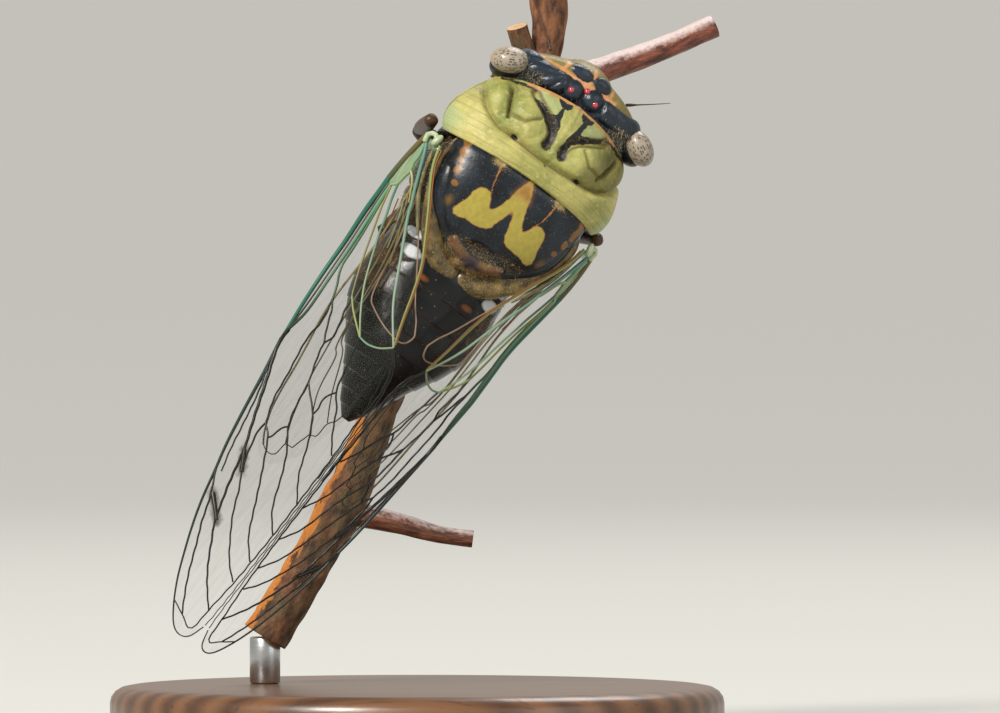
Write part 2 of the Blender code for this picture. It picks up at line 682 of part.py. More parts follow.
# ---------------------------------------------------------------- stand
bpy.ops.mesh.primitive_cylinder_add(
    vertices=40, radius=BASE_R * MM, depth=BASE_H * MM, location=(0, 0, BASE_H * MM / 2)
)
base = bpy.context.object
base.name = "stand_base"
base.data.materials.append(stand_wood)
soften = base.modifiers.new("edge", "BEVEL")
soften.width = 0.8 * MM
soften.segments = 2
soften.limit_method = "ANGLE"
foot = twig_at(TWIG_LINE[0][0])
rod_low, rod_top = BASE_H + GAP, TWIG_LINE[0][0] - GAP
bpy.ops.mesh.primitive_cylinder_add(
    vertices=24, radius=ROD_R * MM, depth=(rod_top - rod_low) * MM,
    location=(foot.x * MM, foot.y * MM, (rod_top + rod_low) / 2 * MM),
)
rod = bpy.context.object
rod.name = "stand_rod"
rod.data.materials.append(stand_steel)
for o in (base, rod):
    for group in list(o.users_collection):
        group.objects.unlink(o)
    cicada.objects.link(o)

for group in (cutters, bumps, twigs):
    bpy.data.collections.remove(group)
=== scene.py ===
import math
from functools import partial

import bmesh
import bpy
import numpy as np
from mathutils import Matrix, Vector
from mathutils.geometry import delaunay_2d_cdt


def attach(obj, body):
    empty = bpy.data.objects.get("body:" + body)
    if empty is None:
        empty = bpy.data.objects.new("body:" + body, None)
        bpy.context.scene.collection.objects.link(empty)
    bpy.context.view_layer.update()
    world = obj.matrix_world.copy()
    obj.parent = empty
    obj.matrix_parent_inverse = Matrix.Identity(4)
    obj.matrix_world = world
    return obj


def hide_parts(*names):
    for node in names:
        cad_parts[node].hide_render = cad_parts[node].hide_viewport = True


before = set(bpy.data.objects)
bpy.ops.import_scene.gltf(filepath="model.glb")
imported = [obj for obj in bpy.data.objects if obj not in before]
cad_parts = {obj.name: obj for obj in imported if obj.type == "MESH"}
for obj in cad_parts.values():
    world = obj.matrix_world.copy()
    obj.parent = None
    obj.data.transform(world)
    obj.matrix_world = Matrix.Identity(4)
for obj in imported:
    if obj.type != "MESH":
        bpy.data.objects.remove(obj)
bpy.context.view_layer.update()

# ---- Head capsule
# One hard shell of chitin: a rounded front between the eyes, two thick glossy bars that run from
# a pair of round tubercles to the eyes, and a swollen grooved face below. Sizes are in mm, in the
# animal's own frame: x to its right, t back from the front of the head, z up its back.
LEAN, TURN = math.radians(35.5), math.radians(14.0)
BACK = np.array((-math.sin(LEAN), 0.0, -math.cos(LEAN)))
ACROSS = np.array((math.cos(LEAN), 0.0, -math.sin(LEAN)))
NEAR = np.array((0.0, -1.0, 0.0))
UP = math.cos(TURN) * NEAR + math.sin(TURN) * ACROSS
RIGHT = -math.sin(TURN) * NEAR + math.cos(TURN) * ACROSS
HEAD_AT = np.array((14.8, -5.5, 56.3))
HEAD_SKEW = 0.026  # the head is held a little askew, its right side forward


def on_body(points):
    """Points x, t, z in mm on the animal, as places in the scene in metres."""
    p = np.asarray(points, float)
    return (HEAD_AT + p[..., 0:1] * RIGHT + p[..., 1:2] * BACK + p[..., 2:3] * UP) / 1000


def eased(keys, count, own=False):
    """Rows of sizes, eased evenly through by their first column, which own=True keeps as a size."""
    keys = np.array(keys, float)
    if own:
        keys = np.insert(keys, 0, keys[:, 0], axis=1)
    at = keys[:, 0]
    slopes = np.gradient(keys[:, 1:], at, axis=0)
    s = np.linspace(at[0], at[-1], count)
    i = np.clip(np.searchsorted(at, s, side="right") - 1, 0, len(at) - 2)
    h = (at[i + 1] - at[i])[:, None]
    u = (s - at[i])[:, None] / h
    a, b = keys[i, 1:], keys[i + 1, 1:]
    m0, m1 = slopes[i] * h, slopes[i + 1] * h
    rows = (2 * u**3 - 3 * u**2 + 1) * a + (u**3 - 2 * u**2 + u) * m0
    return rows + (-2 * u**3 + 3 * u**2) * b + (u**3 - u**2) * m1


def rings(rows, sides):
    """Rings of a body section from rows t, half width, mid level, rise, fall, upper and lower power."""
    t, half, mid, rise, fall, power, low = (rows[:, i:i + 1] for i in range(7))
    a = 2 * math.pi * (np.arange(sides) + 0.5) / sides
    c, s = np.cos(a)[None], np.sin(a)[None]
    e = np.where(s > 0, 2 / power, 2 / low)
    x = half * np.sign(c) * np.abs(c) ** e
    z = mid + np.where(s > 0, rise, fall) * np.sign(s) * np.abs(s) ** e
    bow = 0.035 - 0.023 * np.clip((t - 5.0) / 4.0, 0, 1)
    return np.stack((x, t + bow * x * x, z), axis=2)


def swollen(grid, height):
    """The rings pushed out along their normals by height, in mm."""
    along = np.gradient(grid, axis=0)
    around = (np.roll(grid, -1, 1) - np.roll(grid, 1, 1)) / 2
    normal = np.cross(along, around)
    normal /= np.linalg.norm(normal, axis=2, keepdims=True) + 1e-9
    middle = grid.mean(axis=1, keepdims=True)
    outward = np.sign(np.sum(normal * (grid - middle)))
    return grid + normal * outward * height[..., None]


def to_line(x, t, points):
    """Distance in plan from a line through the points."""
    best = np.full(np.shape(x), 1e9)
    for (x0, t0), (x1, t1) in zip(points, points[1:]):
        dx, dt = x1 - x0, t1 - t0
        u = np.clip(((x - x0) * dx + (t - t0) * dt) / max(dx * dx + dt * dt, 1e-9), 0, 1)
        best = np.minimum(best, np.hypot(x - x0 - u * dx, t - t0 - u * dt))
    return best


def to_shape(x, t, points):
    """Distance in plan from a closed outline, below zero inside it."""
    far = to_line(x, t, list(points) + [points[0]])
    inside = np.zeros(np.shape(x), bool)
    for (x0, t0), (x1, t1) in zip(points, list(points[1:]) + [points[0]]):
        cross = (t0 > t) != (t1 > t)
        edge = x0 + (t - t0) * (x1 - x0) / np.where(t1 == t0, 1e-9, t1 - t0)
        inside ^= cross & (x < edge)
    return np.where(inside, -far, far)


def step(d, width):
    """1 where d is well below 0, 0 where it is well above, eased over the width."""
    u = np.clip(0.5 - d / width, 0, 1)
    return u * u * (3 - 2 * u)


def only(here, zone):
    """The zone where it applies, and outside it elsewhere."""
    return np.where(here, zone, 1.0)


def dip(far, width):
    """1 on a line, eased to nothing a few widths away from it."""
    return np.exp(-(far / width) ** 2)


def oval(x, t, cx, ct, rx, rt):
    """How far out a point lies, where the oval's own edge is at 1."""
    return np.hypot((x - cx) / rx, (t - ct) / rt)


def hump(x, t, cx, ct, rx, rt, power=0.5):
    """A rounded rise, 1 at its centre and 0 from the edge of its oval outwards."""
    return np.clip(1 - ((x - cx) / rx) ** 2 - ((t - ct) / rt) ** 2, 0, 1) ** power


def solid(name, grid, marks, mat, place=None):
    """A closed mesh from rings of points in mm, with each mark kept as an attribute."""
    rows, sides = grid.shape[:2]
    n, last, k = rows * sides, (rows - 1) * sides, np.arange(sides)
    faces = []
    for r in range(rows - 1):
        a, b = r * sides + k, r * sides + (k + 1) % sides
        faces += np.stack((a, b, b + sides, a + sides), axis=1).tolist()
    for first, middle in ((0, n), (last, n + 1)):
        faces += np.stack((first + k, first + (k + 1) % sides, np.full(sides, middle)), axis=1).tolist()
    verts = np.vstack((grid.reshape(-1, 3), grid[0].mean(axis=0), grid[-1].mean(axis=0)))
    layers = {m: np.append(v.reshape(-1), (v[0].mean(), v[-1].mean())) for m, v in marks.items()}
    return piece(name, place(verts) if place else verts / 1000, faces, mat, layers)


def shell(name, grid, marks, mat):
    """The same for rings on the animal, which also keep their own x, t and z."""
    own = {"across": grid[..., 0], "along": grid[..., 1], "level": grid[..., 2]}
    return solid(name, grid, {**marks, **own}, mat, on_body)


def piece(name, verts, faces, mat, layers=None, smooth=True):
    """A mesh with its place in its vertices and its faces turned outwards."""
    mesh = bpy.data.meshes.new(name)
    mesh.from_pydata(np.asarray(verts).tolist(), [], [tuple(f) for f in faces])
    bm = bmesh.new()
    bm.from_mesh(mesh)
    bmesh.ops.recalc_face_normals(bm, faces=bm.faces)
    bm.to_mesh(mesh)
    bm.free()
    for key, values in (layers or {}).items():
        mesh.attributes.new(key, "FLOAT", "POINT").data.foreach_set("value", np.asarray(values, np.float32))
    mesh.polygons.foreach_set("use_smooth", [smooth] * len(mesh.polygons))
    mesh.materials.append(mat)
    return placed(name, mesh)


def placed(name, data):
    """A new object at the origin."""
    obj = bpy.data.objects.new(name, data)
    bpy.context.scene.collection.objects.link(obj)
    return obj


def colour(code):
    """An sRGB hex code as the linear colour that a shader takes."""
    values = [int(code[i:i + 2], 16) / 255 for i in (1, 3, 5)]
    return (*[v / 12.92 if v <= 0.04045 else ((v + 0.055) / 1.055) ** 2.4 for v in values], 1.0)


def fill(tree, inputs, given):
    """Each input given as a plain value, as a hex colour or as a socket to link."""
    for key, value in given.items():
        if isinstance(value, bpy.types.NodeSocket):
            tree.links.new(value, inputs[key])
        else:
            inputs[key].default_value = colour(value) if str(value).startswith("#") else value


def node(tree, kind, given=None, **settings):
    """A node with its settings and its inputs; a kind without Node in it is a shader node's."""
    made = tree.nodes.new(kind if "Node" in kind else "ShaderNode" + kind)
    for key, value in settings.items():
        setattr(made, key, value)
    fill(tree, made.inputs, given or {})
    return made.outputs


def finish(name, **values):
    """A material, what adds a node to it, and what sets or links its shader's own sockets."""
    mat = bpy.data.materials.new(name)
    mat.use_nodes = True
    shader = mat.node_tree.nodes["Principled BSDF"]

    def wear(**given):
        named = {k.replace("_", " ").title().replace("Ior", "IOR"): v for k, v in given.items()}
        fill(mat.node_tree, shader.inputs, named)

    wear(**values)
    return mat, partial(node, mat.node_tree), wear


def painted(add, base, layers, grain=0.0):
    """Colours laid over a base, each where its own attribute is below zero, its edge a little uneven."""
    rough = add("TexNoise", {"Vector": add("TexCoord")["Object"], "Scale": 2600.0, "Detail": 3.0})["Fac"]
    shift = add("Math", {0: rough, 1: -0.5}, operation="ADD")[0]
    shift = add("Math", {0: shift, 1: grain}, operation="MULTIPLY")[0]
    for mark, tint, soft in layers:
        read = add("Attribute", attribute_name=mark)["Fac"]
        moved = add("Math", {0: read, 1: shift}, operation="ADD")[0]
        share = add("MapRange", {0: moved, 1: soft / 2, 2: -soft / 2}, interpolation_type="SMOOTHSTEP")[0]
        base = add("Mix", {0: share, 6: base, 7: tint}, data_type="RGBA")[2]
    return base


def mottled(add, *tones):
    """Each tone as its own two colours, parted by a pattern."""
    return [add("Mix", {0: pattern, 6: one, 7: other}, data_type="RGBA")[2] for pattern, one, other in tones]


HEAD_KEYS = [
    # station, then t, half width, mid level, rise, fall, upper and lower power
    (0.00, 0.00, 0.06, 1.10, 0.05, 0.05, 2.0, 2.0),
    (0.10, 0.05, 0.60, 1.30, 0.90, 1.80, 2.0, 2.0),
    (0.20, 0.15, 1.10, 1.50, 1.35, 3.20, 2.0, 1.9),
    (0.30, 0.36, 1.62, 1.65, 1.65, 4.30, 2.0, 1.8),
    (0.40, 0.62, 2.30, 1.80, 1.85, 5.00, 2.0, 1.7),
    (0.46, 0.76, 3.60, 1.90, 1.80, 5.30, 2.0, 1.6),
    (0.54, 0.96, 4.75, 2.05, 1.75, 5.60, 2.1, 1.6),
    (0.60, 1.16, 5.35, 2.10, 1.75, 5.70, 2.1, 1.6),
    (0.70, 1.80, 5.85, 2.10, 1.85, 6.00, 2.2, 1.6),
    (0.85, 2.90, 6.20, 2.15, 1.90, 6.30, 2.2, 1.6),
    (1.00, 4.10, 6.00, 2.10, 1.90, 6.20, 2.2, 1.6),
]
head_grid = rings(eased(HEAD_KEYS, 110), 400)
hx, ht, hz = head_grid[..., 0], head_grid[..., 1], head_grid[..., 2]
ax = np.abs(hx)
top = (hz > 1.2).astype(float)
# The bars with their folds, the tubercles, the patches and the combed face stand out from the shell.
bar_left = to_line(hx, ht, [(-1.9, 2.86), (-3.4, 2.98), (-5.6, 2.86)]) / 0.98
bar_right = to_line(hx, ht, [(1.9, 2.74), (3.4, 2.84), (5.6, 2.8)]) / 0.9
bar_far = np.minimum(bar_left, bar_right)
bar = np.clip(1 - bar_far**2, 0, 1) ** 0.6 * step(1.9 - ax, 0.6) * top
folds = np.abs(np.sin(ax * 2.7 - (ht - 2.7) * 1.9 + 0.5 * np.sin(ax * 2.3))) ** 0.6
folds *= np.where(hx < 0, 1.0, 0.25)
TUBERCLES = ((-1.12, 2.84), (0.86, 2.6))
tubercle = hump(hx, ht, *TUBERCLES[0], 0.95, 0.95, 0.7)
tubercle = np.maximum(tubercle, hump(hx, ht, *TUBERCLES[1], 0.92, 0.92, 0.7)) * top
patch_far = np.minimum(oval(hx, ht, -1.22, 1.12, 1.05, 0.56), oval(hx, ht, 0.82, 1.1, 0.88, 0.6))
patch = np.clip(1 - patch_far**2, 0, 1) ** 0.7 * top
face = np.clip(1 - (hx / 2.1) ** 2 - ((hz + 1.3) / 3.0) ** 2, 0, 1) * (ht < 1.9)
combed = 0.5 + 0.5 * np.cos(2 * math.pi * (hz + 0.18 * ax) / 0.62)
height = bar * (0.5 + 0.24 * folds) + 0.55 * tubercle + 0.25 * patch + 0.14 * face**0.6
height -= 0.09 * combed * step(0.25 - face, 0.3) * step(0.28 - ax, 0.2)
head_grid = swollen(head_grid, height)
head_grid[..., 1] -= HEAD_SKEW * head_grid[..., 0]
# Where each colour lies: distances in mm, below zero inside.
tubercle_far = np.minimum(oval(hx, ht, *TUBERCLES[0], 1, 1), oval(hx, ht, *TUBERCLES[1], 1, 1) + 0.03)
bridge_far = to_line(hx, ht, [(-1.1, 2.84), (1.0, 2.6)]) + 0.4
bar_dark = only(top > 0, np.minimum(np.minimum(bar_far - 0.98, tubercle_far - 1.0), bridge_far - 1.0))
patch_dark = only(top > 0, (patch_far - 1) * 0.6)
rear_dark = only(top > 0, 3.1 - ht)
plate_zone = -1.6 - hz
ORANGE = [(-5.5, 1.95), (-4.3, 1.85), (-3.0, 1.75), (-1.9, 1.85), (0.0, 1.8), (1.3, 1.7), (2.6, 1.8)]
orange_zone = only(top > 0, to_line(hx, ht, ORANGE) - 0.3 + 0.05 * np.abs(hx))
for spur, half in (([(-0.18, 0.4), (-0.18, 1.8)], 0.16), ([(-2.55, 0.9), (-2.7, 1.7)], 0.14),
                   ([(1.9, 1.0), (1.95, 1.6)], 0.12)):
    orange_zone = np.minimum(orange_zone, to_line(hx, ht, spur) - half)

# Chitin, tanned black and polished by nature: a deep blue-black gloss with fine wrinkles.
black_chitin, add, wear = finish("black_cuticle", roughness=0.32, specular_ior_level=0.4)
where = add("TexCoord")["Object"]
cloud = add("TexNoise", {"Vector": where, "Scale": 420.0, "Detail": 5.0})["Fac"]
tone = add("ValToRGB", {"Fac": cloud})
ramp = tone[0].node.color_ramp
ramp.elements[0].position, ramp.elements[1].position = 0.35, 0.7
ramp.elements[0].color, ramp.elements[1].color = colour("#060709"), colour("#191E24")
wear(base_color=tone[0])
wrinkle = add("TexNoise", {"Vector": where, "Scale": 3800.0, "Detail": 4.0})["Fac"]
rise = add("Bump", {"Height": wrinkle, "Strength": 0.22, "Distance": 0.00006})["Normal"]
wear(normal=rise)

# The head wears the same cuticle, olive and orange where it is left unpigmented.
head_cuticle, add, wear = finish("head_cuticle", specular_ior_level=0.35)
where = add("TexCoord")["Object"]
cloud = add("TexNoise", {"Vector": where, "Scale": 900.0, "Detail": 4.0})["Fac"]
# The black mottles into a lighter blue-grey, a painted blue sheen on the bars, tubercles and patches.
dark, olive, orange = mottled(
    add, (cloud, "#0B0F15", "#2A3642"), (cloud, "#544E24", "#8E7C46"), (cloud, "#9C5C2C", "#DCAA7A"),
)
paint = painted(add, dark, [
    ("plate", olive, 0.5), ("orange", orange, 0.3),
    ("patch_dark", dark, 0.08), ("bar_dark", dark, 0.08), ("rear_dark", dark, 0.2),
], 0.35)
wear(base_color=paint)
# A grey read as roughness: satin where it is pale, glossy on the black parts.
SATIN, GLOSS = "#B3B3B3", "#929292"
dull = painted(add, SATIN, [("patch_dark", GLOSS, 0.1), ("bar_dark", GLOSS, 0.1)], 0.35)
wear(roughness=dull)
wrinkle = add("TexNoise", {"Vector": where, "Scale": 3000.0, "Detail": 5.0})["Fac"]
rise = add("Bump", {"Height": wrinkle, "Strength": 0.5, "Distance": 0.00012})["Normal"]
wear(normal=rise)
hairy = top * step(3.15 - ht, 0.3) * (0.05 + 1.2 * step(3.5 - ax, 0.7))
head = shell("head_shell", head_grid, {
    "plate": plate_zone, "orange": orange_zone,
    "patch_dark": patch_dark, "bar_dark": bar_dark, "rear_dark": rear_dark, "hairy": hairy,
}, head_cuticle)
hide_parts("head")
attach(head, "root")


# ---- Eyes and ocelli
# Two swept-back oval compound eyes of grey facets with dark false pupils, each set in a black
# ring of the head shell, and three small red simple eyes on and between the tubercles.
EYE_AT, EYE_R, EYE_SWEEP = (6.72, 3.62, 2.8), (1.66, 1.12, 1.55), math.radians(28)


def ball(centre, radii, sweep=0.0, segments=96, rows=48):
    """A closed ball on the animal: rings of points and the same points on a unit ball."""
    lat = math.pi * (np.arange(1, rows) / rows)[:, None]
    lon = 2 * math.pi * (np.arange(segments) / segments)[None]
    unit = np.stack((np.sin(lat) * np.cos(lon), np.sin(lat) * np.sin(lon), np.cos(lat) + 0 * lon), axis=2)
    p = unit * np.array(radii)
    c, s = math.cos(sweep), math.sin(sweep)
    turned = np.stack((c * p[..., 0] - s * p[..., 1], s * p[..., 0] + c * p[..., 1], p[..., 2]), axis=2)
    return turned + np.array(centre), p


# Facets under a clear cornea: pale warm grey, with spots where one looks straight down the cells.
eye_facets, add, wear = finish("compound_eye", roughness=0.4, coat_weight=0.2, coat_roughness=0.08)
local = add("CombineXYZ", {k: add("Attribute", attribute_name=f"eye_{k.lower()}")["Fac"] for k in "XYZ"})[0]
stretched = add("Mapping", {"Vector": local, "Rotation": (0, 0.3, 0), "Scale": (0.55, 1.05, 1.05)})[0]
# False pupils stand about 0.3 mm apart along the eye, which is drawn out to twice its width.
spots = add("TexVoronoi", {"Vector": stretched, "Scale": 4.7, "Randomness": 0.75})["Distance"]
soft = add("TexNoise", {"Vector": local, "Scale": 1.6, "Detail": 4.0})["Fac"]
cut = add("Math", {0: soft, 1: 0.42}, operation="MULTIPLY")[0]
edge = add("Math", {0: spots, 1: cut}, operation="SUBTRACT")[0]
share = add("MapRange", {0: edge, 1: 0.24, 2: 0.06, 3: 0.0, 4: 0.9})[0]
ground = add("Mix", {0: soft, 6: "#756C5E", 7: "#A99B88"}, data_type="RGBA")[2]
# Toward the rim the spots fade and the grey turns browner.
rim = add("Attribute", attribute_name="rim")["Fac"]
ground = add("Mix", {0: rim, 6: ground, 7: "#9A8470"}, data_type="RGBA")[2]
fade = add("Math", {0: 1.0, 1: rim}, operation="SUBTRACT")[0]
share = add("Math", {0: share, 1: fade}, operation="MULTIPLY")[0]
paint = add("Mix", {0: share, 6: ground, 7: "#3E342A"}, data_type="RGBA")[2]
wear(base_color=paint)
# Facets are 0.03 mm across: too fine to show, so they only break the gloss.
facets = add("TexVoronoi", {"Vector": local, "Scale": 22.0})["Distance"]
rise = add("Bump", {"Height": facets, "Strength": 0.12, "Distance": 0.00004})["Normal"]
wear(normal=rise)

for side, sx in (("left", -1), ("right", 1)):
    at = (sx * EYE_AT[0], EYE_AT[1] - HEAD_SKEW * sx * EYE_AT[0], EYE_AT[2])
    grid, local = ball(at, EYE_R, sx * EYE_SWEEP)
    rim = np.clip((oval(local[..., 0], local[..., 1], 0, 0, *EYE_R[:2]) - 0.9) / 0.1, 0, 1)
    marks = {"eye_x": local[..., 0], "eye_y": local[..., 1], "eye_z": local[..., 2], "rim": rim}
    eye = shell(f"compound_eye_{side}", grid, marks, eye_facets)
    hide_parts(f"eye_{side}")
    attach(eye, "root")
    ring_at = (sx * (EYE_AT[0] - 0.5), at[1] + 0.5, EYE_AT[2] - 1.0)
    grid, _ = ball(ring_at, (1.66, 1.18, 1.62), sx * EYE_SWEEP)
    behind = (grid[..., 1] > ring_at[1]).astype(float)
    ring = shell(f"eye_ring_{side}", grid, {"hairy": behind}, black_chitin)
    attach(ring, "root")

# Ocelli are clear lenses over red pigment, like drops of red glass.
ocellus_red, add, wear = finish("ocellus_lens", base_color="#A92E3E", roughness=0.08, coat_weight=1.0)
for i, (x, t, z) in enumerate(((-1.34, 2.84, 4.42), (1.06, 2.76, 4.42), (-0.06, 2.18, 4.1))):
    grid, _ = ball((x, t - HEAD_SKEW * x, z), (0.28, 0.28, 0.26), 0.0, 24, 12)
    ocellus = shell(f"ocellus_{i + 1}", grid, {}, ocellus_red)
    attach(ocellus, "root")


# ---- Pronotum
# The saddle behind the head: pressed olive cuticle with swollen lobes parted by slanting
# fissures, an hourglass mark down the middle, and a broad finely ribbed collar at the rear.
PRONOTUM_KEYS = [
    # t, half width, mid level, rise, fall, upper and lower power; the same in the next three sections
    (3.75, 6.0, 1.5, 3.5, 5.9, 2.2, 2.2), (5.0, 7.1, 1.4, 4.2, 6.4, 2.2, 2.2),
    (6.8, 7.9, 1.3, 4.75, 6.7, 2.2, 2.2), (8.6, 8.25, 1.4, 5.1, 7.0, 2.2, 2.2),
    (9.6, 8.25, 1.7, 5.0, 7.3, 2.1, 2.1), (10.3, 8.05, 1.9, 4.9, 7.5, 2.1, 2.1),
    (10.85, 7.7, 1.9, 4.8, 7.4, 2.1, 2.1),
]


def lipped(rows, front, rear):
    """The rows with a rounded lip turned in at each end."""
    added = []
    for row, size, way in ((rows[0], front, 1), (rows[-1], rear, -1)):
        for deep, back in ((1.6, 1.2), (0.7, 0.12), (0.25, -0.1), (0.05, -0.05)):
            out = row.copy()
            out[0] += way * back * size
            out[[1, 3, 4]] -= deep * size
            added.append(out)
    return np.vstack((added[:4], rows, added[:3:-1]))


pro_grid = rings(lipped(eased(PRONOTUM_KEYS, 90, own=True), 0.5, 0.35), 460)
px, pt, pz = pro_grid[..., 0], pro_grid[..., 1], pro_grid[..., 2]
ax = np.abs(px)
top = step(1.6 - pz, 1.2)
GROOVE = [
    (0.0, 9.08), (1.3, 9.05), (2.7, 8.95), (3.6, 8.9), (4.6, 8.9), (5.6, 8.6), (6.4, 8.1), (7.0, 7.3),
    (7.25, 6.5), (7.3, 5.6),
]
BAND = [(3.7, 4.75), (3.2, 5.15), (2.3, 5.6), (1.5, 6.1), (0.95, 6.7), (0.75, 7.3), (0.85, 7.9)]
# Lobes swell between grooves, which are sunk round them and down their middle.
groove_far = to_line(ax, pt, GROOVE)
band_far = to_line(ax, pt, BAND)
slant_far = to_line(ax, pt, [(5.35, 5.7), (5.05, 6.7), (4.65, 7.75)])
curl_far = to_line(ax, pt, [(2.3, 6.4), (3.3, 7.4), (4.4, 7.5)])
field = step(to_shape(ax, pt, GROOVE + [(6.0, 4.5), (3.0, 3.6), (0.0, 3.4)]), 0.7)
height = 0.52 * hump(ax, pt, 3.35, 6.9, 1.75, 1.75, 1.0) + 0.58 * hump(ax, pt, 5.95, 6.6, 1.15, 1.85, 1.0)
height += 0.2 * hump(ax, pt, 1.9, 8.0, 1.6, 0.9, 1.0) + 0.12 * hump(ax, pt, 0.0, 5.0, 1.2, 2.2, 1.0)
height += 0.22 * (1 - field)
height -= 0.5 * dip(groove_far, 0.28) + 0.5 * dip(slant_far, 0.15)
height -= 0.42 * dip(band_far, 0.3) + 0.22 * dip(curl_far, 0.15)
height -= 0.25 * np.exp(-((ax - 3.4) / 0.38) ** 2 - ((pt - 8.8) / 0.22) ** 2)
end_lip = np.ones(len(pro_grid))
end_lip[:4], end_lip[-4:] = (0, 0, 0.3, 0.7), (0.7, 0.3, 0, 0)
height *= top * end_lip[:, None]
pro_grid = swollen(pro_grid, height)

# The black marks in plan: two unlike arms of an hourglass, and spots in the grooves.
SPOT = [(0.55, 3.85), (0.9, 3.7), (1.9, 3.85), (1.75, 4.2), (1.3, 4.5), (0.85, 4.5), (0.55, 4.25)]
BAND_LEFT = [
    (3.65, 5.15), (3.3, 5.0), (2.5, 5.25), (1.8, 5.55), (1.35, 5.35), (1.25, 4.6), (1.05, 4.6),
    (0.95, 5.3), (0.7, 5.9), (0.5, 6.7), (0.42, 7.3), (0.4, 8.0), (0.65, 8.3), (0.95, 8.2), (1.2, 7.9),
    (1.0, 7.4), (1.0, 7.0), (1.35, 6.6), (2.0, 6.25), (2.6, 5.9), (3.1, 5.6),
]
BAND_RIGHT = [
    (0.95, 4.5), (1.4, 4.4), (1.25, 5.0), (1.15, 5.55), (1.7, 5.45), (2.4, 5.15), (3.4, 4.65),
    (3.5, 4.9), (2.7, 5.4), (1.9, 6.0), (1.15, 6.5), (1.0, 7.1), (1.05, 7.5), (1.15, 8.0), (0.9, 8.3),
    (0.6, 8.2), (0.35, 7.8), (0.45, 7.2), (0.5, 6.4), (0.7, 5.6), (0.85, 5.0),
]
dark_mark = np.where(px < 0, to_shape(ax, pt, BAND_LEFT), to_shape(ax, pt, BAND_RIGHT))
dark_mark = np.minimum(dark_mark, to_shape(ax, pt, SPOT))
dark_mark = np.minimum(dark_mark - 0.05, np.hypot((ax - 3.4) / 1.8, pt - 8.82) - 0.2)
dark_mark = np.minimum(dark_mark, np.hypot(px - 0.05, pt - 9.35) - 0.11)
dark_mark = np.minimum(dark_mark, slant_far - 0.05 + 0.05 * np.abs(pt - 6.0))
dark_mark = np.minimum(dark_mark, to_line(ax, pt, [(3.9, 4.5), (5.3, 5.0), (6.1, 5.6)]) - 0.13)
dark_mark = only(pz > 1.5, dark_mark)
level_t = pt - 0.035 * ax**2  # the front edge is bowed
edge_line = only((ax < 4.6) & (pz > 1.5), level_t - 3.93 + 0.02 * np.sin(ax * 5.0))
side_line = np.where(pz < 6, np.abs(pz - 0.7) - 0.12, 1.0) + 0.6 * np.clip(6.4 - pt, 0, 1)
collar = np.where(pz > -1, np.clip(field - 0.5, -1, 1), -1.0)
mint = np.where(pz > 1.5, np.minimum(to_shape(ax, pt, [(1.5, 4.6), (3.0, 4.5), (2.4, 5.0), (1.7, 5.2)]) - 0.1,
                                     7.3 - ax + 1.2 * np.clip(10.2 - pt, 0, 3)), 1.0)
# Painted shade: the disc darkens toward its right side, away from the light.
right_shade_zone = only((field > 0.5) & (pz > 0), 3.1 - px + 0.3 * np.abs(pt - 7.6))
under = np.where(pz < -0.6, -1.0, 1.0) * np.clip(np.abs(pz + 0.6), 0.05, 1)
# Gold down gathers along the grooves, and painted shade darkens their floors.
gold = 0.35 * dip(groove_far, 0.16) + 0.4 * dip(band_far - 0.3, 0.2) + 0.8 * dip(slant_far, 0.16)
gold += 0.4 * dip(curl_far, 0.14) + 0.5 * dip(level_t - 4.3, 0.3) * step(3.6 - ax, 0.5)
gold *= top
gold += 0.03 * top * field * (1 + 2 * step(2.0 - px, 2.0))
crease = (0.25 + 0.4 * step(ax - 4.4, 1.0)) * dip(groove_far, 0.13) + 0.9 * dip(slant_far, 0.1)
crease = (crease + 0.5 * dip(curl_far, 0.1) + 0.8 * dip(band_far - 0.34, 0.12)) * top


def flecked(add, base, most):
    """Gold down too fine to model, as bright flecks some 0.06 mm across where the hairs grow."""
    where = add("TexCoord")["Object"]
    dots = add("TexVoronoi", {"Vector": where, "Scale": 11000.0, "Randomness": 1.0})
    pick = add("SeparateColor", {"Color": dots["Color"]})[0]
    grown = add("Attribute", attribute_name="hairy")["Fac"]
    clump = add("TexNoise", {"Vector": where, "Scale": 1500.0, "Detail": 3.0})["Fac"]
    clump = add("MapRange", {0: clump, 1: 0.38, 2: 0.62, 3: 0.25 * most, 4: 1.3 * most})[0]
    grown = add("Math", {0: grown, 1: clump}, operation="MULTIPLY", use_clamp=True)[0]
    on = add("Math", {0: pick, 1: grown}, operation="LESS_THAN")[0]
    bed = add("Math", {0: grown, 1: 0.7}, operation="MULTIPLY")[0]
    base = add("Mix", {0: bed, 6: base, 7: "#655228"}, data_type="RGBA")[2]
    core = add("Math", {0: dots["Distance"], 1: 0.34}, operation="LESS_THAN")[0]
    on = add("Math", {0: on, 1: core}, operation="MULTIPLY")[0]
    shade = add("SeparateColor", {"Color": dots["Color"]})[1]
    tone = add("Mix", {0: shade, 6: "#5E4820", 7: "#C4AA74"}, data_type="RGBA")[2]
    return add("Mix", {0: on, 6: base, 7: tone}, data_type="RGBA")[2]


